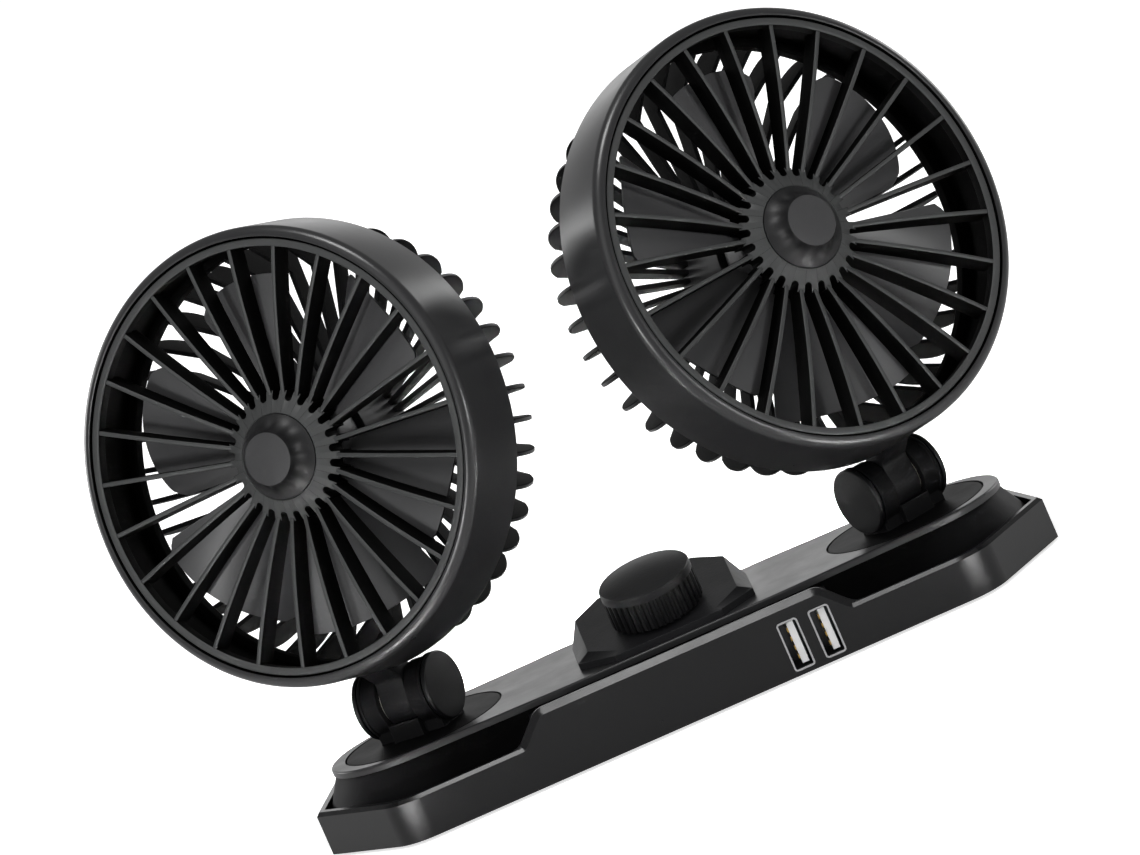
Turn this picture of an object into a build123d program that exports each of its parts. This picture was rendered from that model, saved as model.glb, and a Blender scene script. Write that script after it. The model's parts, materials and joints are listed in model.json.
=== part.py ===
from build123d import *
from math import cos, pi, radians, sin
import os

# Dual head car fan for a dashboard: a boat shaped base with a raised spine, a knurled speed
# knob and two USB power ports, and two fan heads that swivel and tilt.
# X runs along the base, the front faces -Y, Z is up. The origin lies on the dashboard,
# midway between the two swivel axes.

# Driving sizes of the base, in millimetres
base_length = 200.0
front_reach = 38.0
back_reach = 27.5
end_corner_forward = 6.6
front_bend_spacing = 159.0
back_corner_spacing = 186.0
front_bend_radius = 12.0
end_corner_radius = 5.0
back_corner_radius = 10.0
rim_height = 12.2
base_wall = 2.4
rim_bevel = 0.9
raised_height = 19.8
raised_top_length = 77.0
raised_slope_run = 7.5
raised_end_run = 10.0
raised_corner_radius = 5.0
raised_bevel = 1.7

# Spine, its cover and the tray in front of it
swivel_spacing = 133.0
spine_tip_reach = 92.0
spine_end_radius = 22.5
spine_middle_length = 60.0
spine_middle_reach = 25.5
spine_spread = 7.4
spine_foot_wall = 1.4
spine_height = 20.0
cover_thickness = 1.8
cover_edge_radius = 0.6
cover_overhang = 0.7
deck_thickness = 1.8
tray_floor_height = 4.5
tray_flat_length = 138.0
tray_end_height = 11.2
bay_floor_height = 17.0
bay_side_run = 2.0
bay_slope_run = 3.5
bay_roof = 1.5

# Underside
pad_thickness = 0.8
pad_inset = 4.5
bottom_thickness = 1.4
bottom_gap = 0.15
screw_gap = 0.15
boss_radius = 3.2
boss_spacing_x = 72.0
boss_spacing_y = 30.0
boss_end_spacing = 172.0
screw_radius = 1.25
screw_head_radius = 2.4
screw_head_height = 1.0
screw_length = 7.0

# Swivel turntables
toe_out = 32.3
disc_radius = 21.3
disc_gap = 0.3
disc_seat_gap = 0.15
disc_edge_bevel = 0.4
spindle_radius = 7.0
running_gap = 0.06
washer_radius = 11.0
washer_thickness = 1.2
washer_play = 0.3
swivel_screw_radius = 1.8
swivel_screw_head_radius = 4.0
swivel_screw_head_height = 1.5
swivel_screw_length = 5.0

# Tilt barrels
tilt_rest = 14.1
tilt_axis_height = 9.4
ear_radius = 8.4
ear_inner_half = 4.6
ear_outer_half = 9.9
ear_foot_half = 5.5
flange_radius = 8.9
flange_thickness = 0.8
knuckle_radius = 7.2
knuckle_half = 4.15
cradle_gap = 0.35
web_below_axis = 4.6
cradle_reach = 7.6
axle_radius = 2.0
axle_head_radius = 4.2
axle_head_height = 2.2
recess_radius = 5.2
recess_depth = 3.2
cap_thickness = 1.3
cap_shadow_gap = 0.4
cap_neck_radius = 8.0
cap_plug_length = 0.8
cap_plug_wall = 0.6
cap_edge_bevel = 0.3
friction_washer_thickness = 0.4
friction_washer_radius = 6.5

# Fan heads, measured from the front plane of the grille
axis_drop = 66.0
axis_setback = 28.3
drum_radius = 58.5
drum_wall = 2.5
drum_depth = 21.0
drum_front = 0.4
drum_edge_radius = 2.5
groove_radius = 55.8
groove_width = 0.5
seat_depth = 3.4
seat_width = 1.6
seat_thickness = 1.6
neck_front_rise = 4.6
neck_foot_reach = 14.0
neck_foot_sink = 0.9
neck_root_sink = 1.5
neck_top_rise = 8.1
neck_root_inset = 0.3

# Front grille
grille_opening_radius = 53.3
rib_count = 25
rib_thickness = 1.25
rib_depth = 6.2
rib_outer_drop = 0.3
rib_mid_drop = 1.5
rib_mid_radius = 30.0
rib_root = 0.7
hub_ring_radius = 16.2
hub_ring_drop = 4.0
hub_shoulder_radius = 10.9
hub_shoulder_drop = 1.5
hub_back_drop = 9.4
hub_bore_radius = 9.0
slot_end_radius = 1.1
slot_centre_radius = 15.3
cap_seat_depth = 2.0
cap_seat_gap = 0.1
cone_disc_radius = 6.8
cone_rise = 3.8
cone_waist_radius = 8.3
cone_waist_rise = 0.6

# Impeller and motor
blade_count = 6
blade_start_angle = 38.0
blade_tip_radius = 46.0
blade_thickness = 1.3
blade_root_chord = 15.0
blade_tip_chord = 42.5
blade_root_pitch = 44.0
blade_tip_pitch = 19.0
blade_camber_share = 0.12
blade_middle_drop = 15.4
blade_root_sink = 1.5
impeller_radius = 13.2
impeller_front_drop = 10.4
impeller_depth = 9.6
impeller_wall = 1.6
impeller_boss_radius = 3.2
impeller_edge_radius = 1.6
motor_radius = 12.0
motor_front_drop = 21.4
motor_length = 18.6
motor_boss_radius = 3.0
motor_boss_height = 1.0
motor_shaft_radius = 1.0
motor_shaft_length = 17.5
motor_cup_gap = 0.15
motor_cup_wall = 2.4
motor_screw_radius = 1.1
motor_screw_head_radius = 2.0
motor_screw_head_height = 1.1
motor_screw_spacing = 13.0
motor_screw_length = 4.5

# Rear grille
fin_count = 42
fin_thickness = 1.2
fin_lobe_radius = 55.7
fin_lobe_drop = 33.0
fin_rim_radius = 50.5
fin_rim_drop = 40.5
fin_dome_radius = 32.0
fin_dome_drop = 41.6
fin_back_drop = 42.0
fin_depth = 4.8
fin_root = 0.8
rear_ring_wall = 2.2
rear_ring_depth = 3.4
rear_ring_gap = 0.1

# Speed control
control_lean = 12.0
control_forward = 9.4
control_height = 25.0
plinth_height = 1.8
plinth_length = 48.0
plinth_front = 24.2
plinth_back = 17.0
plinth_corner = 9.5
housing_screw_spacing = 28.0
housing_screw_back = 9.0
housing_screw_length = 8.0
panel_length = 41.0
panel_front = 13.0
panel_back = 24.2
panel_corner = 7.5
panel_thickness = 2.0
control_bore_radius = 10.9
switch_window_radius = 10.6
switch_size = 13.0
switch_depth = 5.0
switch_corner = 1.5
bushing_radius = 3.4
bushing_height = 3.8
bushing_gap = 0.1
nut_across_flats = 9.0
nut_thickness = 1.5
switch_shaft_radius = 2.4
switch_shaft_height = 9.0
knob_radius = 12.2
knob_height = 10.2
knob_dome = 1.5
knob_rim = 2.2
knob_wall = 1.8
knob_gap = 0.5
knob_edge_radius = 0.8
knob_boss_radius = 4.4
knob_boss_gap = 0.7
knob_rib_count = 36
knob_groove_depth = 0.75
knob_groove_share = 0.5

# USB power ports
usb_spacing = 8.5
usb_pair_middle = 32.2
usb_middle_height = 8.6
usb_mouth_height = 12.2
usb_mouth_width = 4.7
usb_sheet = 0.25
usb_depth = 13.0
usb_corner = 0.7
usb_frame_width = 0.45
usb_frame_proud = 0.3
usb_tongue_height = 11.0
usb_tongue_width = 1.8
usb_tongue_depth = 10.5
usb_tongue_side = 0.7
usb_contact_count = 4
usb_contact_pitch = 2.4
usb_contact_height = 1.2
usb_contact_thickness = 0.35
usb_contact_setback = 0.6

# Circuit board and the cable gland at the back
board_length = 58.0
board_width = 30.0
board_thickness = 1.6
board_height = 6.0
standoff_radius = 2.6
standoff_inset = 3.5
board_screw_radius = 1.0
board_screw_length = 3.0
gland_radius = 3.2
gland_flange_radius = 4.4
gland_flange_thickness = 1.2
gland_bore_radius = 1.7
gland_height = 5.9

overrun = 1.0

# Heights and directions that follow from the sizes above
swivel_reach = swivel_spacing / 2
spine_end_spacing = 2 * (spine_tip_reach - spine_end_radius)
raised_foot_length = raised_top_length + 2 * raised_slope_run
raised_ends_length = raised_foot_length + 2 * raised_end_run
bay_top_length = raised_top_length + 2 * bay_side_run
bay_foot_length = bay_top_length + 2 * bay_slope_run
cover_underside = pad_thickness + bottom_thickness
deck_top = spine_height - cover_thickness
deck_bottom = deck_top - deck_thickness
disc_thickness = cover_thickness - disc_seat_gap
washer_top = deck_bottom - washer_play
spindle_length = spine_height - disc_thickness - washer_top
drum_inner_radius = drum_radius - drum_wall
grille_ring_radius = groove_radius - groove_width
recess_reach = ear_outer_half - recess_depth
neck_foot_rise = axis_drop - drum_radius + neck_foot_sink
neck_root_rise = axis_drop - drum_radius + neck_root_sink
neck_root_reach = axis_setback - drum_depth + neck_root_inset
half_rib_angle = 180 / rib_count
blade_middle_radius = (impeller_radius + blade_tip_radius) / 2
blade_middle_chord = (blade_root_chord + blade_tip_chord) / 2
blade_middle_pitch = (blade_root_pitch + blade_tip_pitch) / 2
motor_cup_radius = motor_radius + motor_cup_gap + motor_cup_wall
motor_cup_back = fin_back_drop - motor_front_drop - motor_length
rear_ring_outer = drum_inner_radius - rear_ring_gap
rear_ring_inner = rear_ring_outer - rear_ring_wall
knob_groove_width = knob_groove_share * 2 * pi * knob_radius / knob_rib_count
knob_top = knob_gap + knob_height + knob_dome
bushing_top = bushing_height - panel_thickness
board_forward = front_reach - usb_depth - board_width / 2
toe = radians(toe_out)
tilt = radians(tilt_rest)
lean = radians(control_lean)

# Frames of the moving groups on the left. In the swivel frame X runs along the tilt barrel, Z is
# up and Y points behind the head. In the head frame Z points forward out of the grille, Y is the
# head's up, and the origin is the middle of the grille's front plane.
lateral = Vector(cos(toe), -sin(toe), 0)
forward = Vector(-sin(toe) * cos(tilt), -cos(toe) * cos(tilt), sin(tilt))
swivel_plane = Plane(origin=(-swivel_reach, 0, spine_height), x_dir=lateral, z_dir=(0, 0, 1))
tilt_plane = Plane(origin=(-swivel_reach, 0, spine_height + tilt_axis_height), x_dir=lateral, z_dir=forward)
head_plane = Plane(
    origin=tilt_plane.from_local_coords(Vector(0, axis_drop, axis_setback)),
    x_dir=lateral,
    z_dir=forward,
)
knuckle_plane = Plane(origin=(0, -axis_drop, -axis_setback), x_dir=(0, 1, 0), z_dir=(1, 0, 0))
control_plane = Plane(
    origin=(0, -control_forward, control_height),
    x_dir=(1, 0, 0),
    z_dir=(0, -sin(lean), cos(lean)),
)

pieces = {}


def keep(name, builder):
    """Labels a finished sub-part and files it under its name."""
    builder.part.label = name
    pieces[name] = builder.part


def keep_at(name, builder, plane):
    """Files a sub-part made at the origin, moved to its plane."""
    with BuildPart() as placed:
        with Locations(plane):
            add(builder.part)
    keep(name, placed)


def keep_pair(name, builder, plane):
    """Files a copy on the left, at its plane, and its mirror image on the right."""
    keep_at(f"{name}_left", builder, plane)
    with BuildPart() as mirrored:
        mirror(pieces[f"{name}_left"], about=Plane.YZ)
    keep(f"{name}_right", mirrored)


# Outline of the base seen from above
with BuildSketch() as outline:
    with BuildLine():
        Polyline(
            (-front_bend_spacing / 2, -front_reach),
            (front_bend_spacing / 2, -front_reach),
            (base_length / 2, -end_corner_forward),
            (back_corner_spacing / 2, back_reach),
            (-back_corner_spacing / 2, back_reach),
            (-base_length / 2, -end_corner_forward),
            close=True,
        )
    make_face()
    rows = outline.vertices().group_by(Axis.Y)
    fillet(rows[0], front_bend_radius)
    fillet(rows[1], end_corner_radius)
    fillet(rows[2], back_corner_radius)

# Plan of the spine: round ends and a wider middle
with BuildSketch() as spine_plan:
    with GridLocations(spine_end_spacing, 0, 2, 1):
        Circle(spine_end_radius)
    Rectangle(spine_middle_length, 2 * spine_middle_reach)
    make_hull()

# Spine body: its sides spread from under the cover down to the tray floor
with BuildPart() as spine_body:
    with BuildSketch(Plane.XY.offset(tray_floor_height)):
        add(spine_plan.sketch)
        offset(amount=spine_spread, kind=Kind.INTERSECTION)
    with BuildSketch(Plane.XY.offset(deck_top)):
        add(spine_plan.sketch)
        offset(amount=-cover_overhang, kind=Kind.INTERSECTION)
    loft(ruled=True)
    with BuildSketch(Plane.XY.offset(tray_floor_height)):
        add(outline.sketch)
        offset(amount=-base_wall)
    extrude(amount=raised_height, mode=Mode.INTERSECT)

# Hollow under the deck, following the spread sides and keeping the outer wall
with BuildPart() as spine_hollow:
    with BuildSketch(Plane.XY.offset(pad_thickness)):
        add(spine_plan.sketch)
        offset(amount=spine_spread - spine_foot_wall, kind=Kind.INTERSECTION)
    with BuildSketch(Plane.XY.offset(deck_bottom)):
        add(spine_plan.sketch)
        offset(amount=-base_wall, kind=Kind.INTERSECTION)
    loft(ruled=True)
    with BuildSketch(Plane.XY.offset(pad_thickness)):
        add(outline.sketch)
        offset(amount=-base_wall)
    extrude(amount=raised_height, mode=Mode.INTERSECT)

# Room above the tray: deep on both sides, shallow over the bay that holds the ports
with BuildPart() as tray_room:
    with BuildSketch(Plane.XY.offset(tray_floor_height)):
        add(outline.sketch)
        offset(amount=-base_wall)
    extrude(amount=raised_height)
    with BuildSketch(Plane.XZ):
        with BuildLine():
            floor = Polyline(
                (0, raised_height + overrun),
                (0, bay_floor_height),
                (bay_top_length / 2, bay_floor_height),
                (bay_foot_length / 2, tray_floor_height),
                (tray_flat_length / 2, tray_floor_height),
            )
            rise = TangentArc(floor @ 1, (base_length / 2, tray_end_height), tangent=(1, 0))
            Polyline(rise @ 1, (base_length / 2, raised_height + overrun), floor @ 0)
        make_face()
        mirror(about=Plane.YZ)
    extrude(amount=front_reach + back_reach, both=True, mode=Mode.INTERSECT)

# Raised middle of the front wall, bevelled along its upper edge
with BuildPart() as raised_wall:
    with BuildSketch(Plane.XZ.offset(front_reach)) as raised_profile:
        with BuildLine():
            Polyline(
                (-raised_ends_length / 2, tray_floor_height),
                (-raised_ends_length / 2, rim_height),
                (-raised_foot_length / 2, rim_height),
                (-raised_top_length / 2, raised_height),
                (raised_top_length / 2, raised_height),
                (raised_foot_length / 2, rim_height),
                (raised_ends_length / 2, rim_height),
                (raised_ends_length / 2, tray_floor_height),
                close=True,
            )
        make_face()
        bends = raised_profile.vertices().filter_by_position(
            Axis.X, -raised_foot_length / 2, raised_foot_length / 2
        )
        fillet(bends, raised_corner_radius)
    extrude(amount=-base_wall)
    face_edges = raised_wall.faces().sort_by(Axis.Y)[0].edges()
    chamfer(face_edges.filter_by_position(Axis.Z, rim_height, raised_height), raised_bevel)

# Base shell: rim, raised front, tray and hollow spine in one moulding
with BuildPart() as base_shell:
    with BuildSketch(Plane.XY.offset(pad_thickness)):
        add(outline.sketch)
    extrude(amount=rim_height - pad_thickness)
    chamfer(base_shell.edges().group_by(Axis.Z)[-1], rim_bevel)
    add(raised_wall.part)
    with BuildSketch(Plane.XY.offset(pad_thickness)):
        Rectangle(bay_foot_length, front_reach - base_wall, align=(Align.CENTER, Align.MAX))
    extrude(amount=bay_floor_height - pad_thickness)
    add(tray_room.part, mode=Mode.SUBTRACT)
    add(spine_body.part)
    add(spine_hollow.part, mode=Mode.SUBTRACT)
    with BuildSketch(Plane.XY.offset(pad_thickness)):
        with Locations((0, -front_reach / 2)):
            Rectangle(bay_top_length - 2 * base_wall, front_reach - 2 * base_wall)
    extrude(amount=bay_floor_height - bay_roof - pad_thickness, mode=Mode.SUBTRACT)
    with BuildSketch(Plane.XY.offset(pad_thickness)):
        add(outline.sketch)
        offset(amount=-base_wall)
    extrude(amount=bottom_thickness, mode=Mode.SUBTRACT)
    with BuildSketch(Plane.XY.offset(cover_underside)):
        with GridLocations(boss_spacing_x, boss_spacing_y, 2, 2):
            Circle(boss_radius)
        with GridLocations(boss_end_spacing, 0, 2, 1):
            Circle(boss_radius)
    extrude(until=Until.NEXT)
    with BuildSketch(Plane.XY.offset(cover_underside)):
        with GridLocations(boss_spacing_x, boss_spacing_y, 2, 2):
            Circle(screw_radius)
        with GridLocations(boss_end_spacing, 0, 2, 1):
            Circle(screw_radius)
    extrude(amount=screw_length, mode=Mode.SUBTRACT)
    with BuildSketch(Plane.XY.offset(deck_bottom)):
        with GridLocations(swivel_spacing, 0, 2, 1):
            Circle(spindle_radius + running_gap)
        with Locations((0, -control_forward)):
            Circle(switch_window_radius)
        with Locations((0, housing_screw_back)):
            with GridLocations(housing_screw_spacing, 0, 2, 1):
                Circle(screw_radius + screw_gap)
    extrude(amount=deck_thickness, mode=Mode.SUBTRACT)
    with BuildSketch(Plane.XZ.offset(front_reach)):
        with Locations((usb_pair_middle, usb_middle_height)):
            with GridLocations(usb_spacing, 0, 2, 1):
                RectangleRounded(usb_mouth_width + 2 * usb_sheet, usb_mouth_height + 2 * usb_sheet, usb_corner)
    extrude(amount=-usb_depth, mode=Mode.SUBTRACT)
    with BuildSketch(Plane.XZ.offset(-back_reach)):
        with Locations((0, gland_height)):
            Circle(gland_radius)
    extrude(amount=2 * base_wall + overrun, mode=Mode.SUBTRACT)
keep("base_shell", base_shell)

# Bottom cover with countersunk screws, and the grip pad stuck under it
with BuildPart() as bottom_cover:
    with BuildSketch(Plane.XY.offset(pad_thickness)):
        add(outline.sketch)
        offset(amount=-base_wall - bottom_gap)
    extrude(amount=bottom_thickness)
    with BuildSketch(Plane.XY.offset(cover_underside)):
        with Locations((0, -board_forward)):
            with GridLocations(board_length - 2 * standoff_inset, board_width - 2 * standoff_inset, 2, 2):
                Circle(standoff_radius)
    extrude(amount=board_height - cover_underside)
    with BuildSketch(Plane.XY.offset(pad_thickness)):
        with GridLocations(boss_spacing_x, boss_spacing_y, 2, 2):
            Circle(screw_head_radius + screw_gap)
        with GridLocations(boss_end_spacing, 0, 2, 1):
            Circle(screw_head_radius + screw_gap)
    extrude(amount=screw_head_height, mode=Mode.SUBTRACT)
    with BuildSketch(Plane.XY.offset(pad_thickness)):
        with GridLocations(boss_spacing_x, boss_spacing_y, 2, 2):
            Circle(screw_radius + screw_gap)
        with GridLocations(boss_end_spacing, 0, 2, 1):
            Circle(screw_radius + screw_gap)
    extrude(amount=bottom_thickness, mode=Mode.SUBTRACT)
    with BuildSketch(Plane.XY.offset(board_height)):
        with Locations((0, -board_forward)):
            with GridLocations(board_length - 2 * standoff_inset, board_width - 2 * standoff_inset, 2, 2):
                Circle(board_screw_radius)
    extrude(amount=-board_screw_length, mode=Mode.SUBTRACT)
keep("bottom_cover", bottom_cover)

with BuildPart() as grip_pad:
    with BuildSketch():
        add(outline.sketch)
        offset(amount=-pad_inset)
    extrude(amount=pad_thickness)
keep("grip_pad", grip_pad)

with BuildPart() as bottom_screws:
    with BuildSketch(Plane.XY.offset(pad_thickness)):
        with GridLocations(boss_spacing_x, boss_spacing_y, 2, 2):
            Circle(screw_head_radius)
        with GridLocations(boss_end_spacing, 0, 2, 1):
            Circle(screw_head_radius)
    extrude(amount=screw_head_height)
    with BuildSketch(Plane.XY.offset(pad_thickness)):
        with GridLocations(boss_spacing_x, boss_spacing_y, 2, 2):
            Circle(screw_radius)
        with GridLocations(boss_end_spacing, 0, 2, 1):
            Circle(screw_radius)
    extrude(amount=screw_length)
keep("bottom_screws", bottom_screws)

# Cover plate of the spine, with round seats for both turntables
with BuildPart() as spine_cover:
    with BuildSketch(Plane.XY.offset(deck_top)):
        add(spine_plan.sketch)
    extrude(amount=cover_thickness)
    fillet(spine_cover.edges().group_by(Axis.Z)[-1], cover_edge_radius)
    with BuildSketch(Plane.XY.offset(deck_top)):
        with GridLocations(swivel_spacing, 0, 2, 1):
            Circle(disc_radius + disc_gap)
        with Locations((0, -control_forward)):
            Circle(switch_window_radius)
        with Locations((0, housing_screw_back)):
            with GridLocations(housing_screw_spacing, 0, 2, 1):
                Circle(screw_radius + screw_gap)
    extrude(amount=cover_thickness, mode=Mode.SUBTRACT)
keep("spine_cover", spine_cover)

# Turntable: a flush disc on a spindle, carrying the two ears of the tilt barrel
with BuildPart() as turntable:
    with BuildSketch(Plane.XY.offset(-disc_thickness)):
        Circle(disc_radius)
    extrude(amount=disc_thickness)
    chamfer(turntable.edges().group_by(Axis.Z)[-1], disc_edge_bevel)
    with BuildSketch(Plane.XY.offset(-disc_thickness)):
        Circle(spindle_radius)
    extrude(amount=-spindle_length)
    with BuildSketch(Plane.YZ):
        with Locations((0, tilt_axis_height)):
            Circle(ear_radius)
            Rectangle(2 * ear_foot_half, tilt_axis_height, align=(Align.CENTER, Align.MAX))
    extrude(amount=ear_outer_half, both=True)
    with BuildSketch(Plane.YZ):
        Rectangle(cradle_reach, tilt_axis_height - web_below_axis, align=(Align.MAX, Align.MIN))
    extrude(amount=ear_inner_half, both=True)
    with BuildSketch(Plane.YZ.offset(ear_outer_half - flange_thickness), Plane.YZ.offset(-ear_outer_half)):
        with Locations((0, tilt_axis_height)):
            Circle(flange_radius)
    extrude(amount=flange_thickness)
    with BuildSketch(Plane.YZ):
        with Locations((0, tilt_axis_height)):
            Circle(knuckle_radius + cradle_gap)
        with Locations((0, tilt_axis_height - web_below_axis)):
            Rectangle(2 * (ear_radius + overrun), ear_radius + flange_radius, align=(Align.CENTER, Align.MIN))
    extrude(amount=ear_inner_half, both=True, mode=Mode.SUBTRACT)
    with BuildSketch(Plane.YZ):
        with Locations((0, tilt_axis_height)):
            Circle(axle_radius)
    extrude(amount=ear_outer_half, both=True, mode=Mode.SUBTRACT)
    with BuildSketch(Plane.YZ.offset(ear_outer_half - recess_depth), Plane.YZ.offset(-ear_outer_half)):
        with Locations((0, tilt_axis_height)):
            Circle(recess_radius)
    extrude(amount=recess_depth, mode=Mode.SUBTRACT)
    with BuildSketch(Plane.XY.offset(-disc_thickness - spindle_length)):
        Circle(swivel_screw_radius)
    extrude(amount=swivel_screw_length - washer_thickness, mode=Mode.SUBTRACT)
keep_pair("turntable", turntable, swivel_plane)

with BuildPart() as swivel_washer:
    with BuildSketch(Plane.XY.offset(-disc_thickness - spindle_length)):
        Circle(washer_radius)
        Circle(swivel_screw_radius, mode=Mode.SUBTRACT)
    extrude(amount=-washer_thickness)
keep_pair("swivel_washer", swivel_washer, swivel_plane)

with BuildPart() as swivel_screw:
    with BuildSketch(Plane.XY.offset(-disc_thickness - spindle_length - washer_thickness)):
        Circle(swivel_screw_head_radius)
    extrude(amount=-swivel_screw_head_height)
    with BuildSketch(Plane.XY.offset(-disc_thickness - spindle_length - washer_thickness)):
        Circle(swivel_screw_radius)
    extrude(amount=swivel_screw_length)
keep_pair("swivel_screw", swivel_screw, swivel_plane)

# Tilt bolt and nut in the ears, closed by two end caps
with BuildPart() as tilt_bolt:
    with BuildSketch(Plane.YZ.offset(-recess_reach - axle_head_height)):
        with Locations((0, tilt_axis_height)):
            Circle(axle_radius)
    extrude(amount=2 * recess_reach + axle_head_height)
    with BuildSketch(Plane.YZ.offset(recess_reach)):
        with Locations((0, tilt_axis_height)):
            Circle(axle_head_radius)
    extrude(amount=axle_head_height)
keep_pair("tilt_bolt", tilt_bolt, swivel_plane)

with BuildPart() as tilt_nut:
    with BuildSketch(Plane.YZ.offset(-recess_reach)):
        with Locations((0, tilt_axis_height)):
            RegularPolygon(axle_head_radius, 6)
            Circle(axle_radius, mode=Mode.SUBTRACT)
    extrude(amount=-axle_head_height)
keep_pair("tilt_nut", tilt_nut, swivel_plane)

with BuildPart() as end_cap:
    with BuildSketch(Plane.YZ.offset(ear_outer_half)):
        with Locations((0, tilt_axis_height)):
            Circle(cap_neck_radius)
    extrude(amount=cap_shadow_gap)
    with BuildSketch(Plane.YZ.offset(ear_outer_half + cap_shadow_gap)):
        with Locations((0, tilt_axis_height)):
            Circle(flange_radius)
    extrude(amount=cap_thickness)
    with BuildSketch(Plane.YZ.offset(ear_outer_half - cap_plug_length)):
        with Locations((0, tilt_axis_height)):
            Circle(recess_radius - running_gap)
            Circle(recess_radius - running_gap - cap_plug_wall, mode=Mode.SUBTRACT)
    extrude(amount=cap_plug_length)
    chamfer(end_cap.edges().filter_by(GeomType.CIRCLE).group_by(Axis.X)[-1], cap_edge_bevel)
keep_pair("inner_cap", end_cap, swivel_plane)

with BuildPart() as outer_cap:
    mirror(end_cap.part, about=Plane.YZ)
keep_pair("outer_cap", outer_cap, swivel_plane)

with BuildPart() as friction_washers:
    with BuildSketch(
        Plane.YZ.offset(ear_inner_half - friction_washer_thickness), Plane.YZ.offset(-ear_inner_half)
    ):
        with Locations((0, tilt_axis_height)):
            Circle(friction_washer_radius)
            Circle(axle_radius, mode=Mode.SUBTRACT)
    extrude(amount=friction_washer_thickness)
keep_pair("friction_washers", friction_washers, swivel_plane)

# Head shroud: the drum turned about the fan's axis, with the neck and knuckle below it
with BuildPart() as head_shroud:
    with BuildSketch(Plane.XZ) as drum_profile:
        with BuildLine():
            Polyline(
                (drum_inner_radius, -drum_depth),
                (drum_radius, -drum_depth),
                (drum_radius, drum_front),
                (groove_radius, drum_front),
                (groove_radius, -seat_depth),
                (drum_inner_radius - seat_width, -seat_depth),
                (drum_inner_radius - seat_width, -seat_depth - seat_thickness),
                (drum_inner_radius, -seat_depth - seat_thickness),
                close=True,
            )
        make_face()
        fillet(drum_profile.vertices().sort_by_distance((drum_radius, drum_front))[0], drum_edge_radius)
    revolve(axis=Axis.Z)
    with BuildSketch(knuckle_plane):
        Circle(knuckle_radius)
        with BuildLine():
            Polyline(
                (0, 0),
                (0, knuckle_radius),
                (neck_front_rise, knuckle_radius),
                (neck_foot_rise, neck_foot_reach),
                (neck_root_rise, neck_foot_reach),
                (neck_root_rise, neck_root_reach),
                (neck_top_rise, 0),
                close=True,
            )
        make_face()
    extrude(amount=knuckle_half, both=True)
    with BuildSketch(knuckle_plane):
        Circle(axle_radius + running_gap)
    extrude(amount=knuckle_half, both=True, mode=Mode.SUBTRACT)
keep_pair("head_shroud", head_shroud, head_plane)

# Front grille: one deep rib with a bowed crest, repeated round the hub ring
with BuildPart() as rib:
    with BuildSketch(Plane.XZ):
        with BuildLine():
            crest = ThreePointArc(
                (grille_opening_radius + rib_root, -rib_outer_drop),
                (rib_mid_radius, -rib_mid_drop),
                (slot_centre_radius - rib_root, -hub_ring_drop),
            )
            foot = ThreePointArc(
                (slot_centre_radius - rib_root, -hub_back_drop),
                (rib_mid_radius, -rib_mid_drop - rib_depth),
                (grille_opening_radius + rib_root, -rib_outer_drop - rib_depth),
            )
            Line(crest @ 1, foot @ 0)
            Line(foot @ 1, crest @ 0)
        make_face()
    extrude(amount=rib_thickness / 2, both=True)

with BuildPart() as front_grille:
    with BuildSketch(Plane.XZ):
        with BuildLine():
            Polyline(
                (hub_bore_radius, -hub_back_drop),
                (hub_ring_radius, -hub_back_drop),
                (hub_ring_radius, -hub_ring_drop),
                (hub_shoulder_radius, -hub_shoulder_drop),
                (hub_shoulder_radius, -hub_shoulder_drop - cap_seat_depth),
                (hub_bore_radius, -hub_shoulder_drop - cap_seat_depth),
                close=True,
            )
        make_face()
        with Locations(((grille_opening_radius + grille_ring_radius) / 2, -seat_depth / 2)):
            Rectangle(grille_ring_radius - grille_opening_radius, seat_depth)
    revolve(axis=Axis.Z)
    with BuildSketch(Plane.XY.offset(-hub_back_drop)):
        with PolarLocations(slot_centre_radius, rib_count, start_angle=half_rib_angle):
            Circle(slot_end_radius)
            Rectangle(2 * slot_end_radius, 2 * slot_end_radius, align=(Align.MIN, Align.CENTER))
    extrude(amount=hub_back_drop, mode=Mode.SUBTRACT)
    with PolarLocations(0, rib_count):
        add(rib.part)
keep_pair("front_grille", front_grille, head_plane)

# Hub cap: a hollow waisted cone with a flat disc, clipped into the hub ring
with BuildPart() as hub_cap:
    with BuildSketch(Plane.XZ):
        with BuildLine():
            Polyline(
                (cone_disc_radius, cone_rise),
                (0, cone_rise),
                (0, -hub_shoulder_drop - cap_seat_depth),
                (hub_shoulder_radius - cap_seat_gap, -hub_shoulder_drop - cap_seat_depth),
                (hub_shoulder_radius - cap_seat_gap, -hub_shoulder_drop),
            )
            ThreePointArc(
                (hub_shoulder_radius - cap_seat_gap, -hub_shoulder_drop),
                (cone_waist_radius, cone_waist_rise),
                (cone_disc_radius, cone_rise),
            )
        make_face()
    revolve(axis=Axis.Z)
keep_pair("hub_cap", hub_cap, head_plane)

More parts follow.
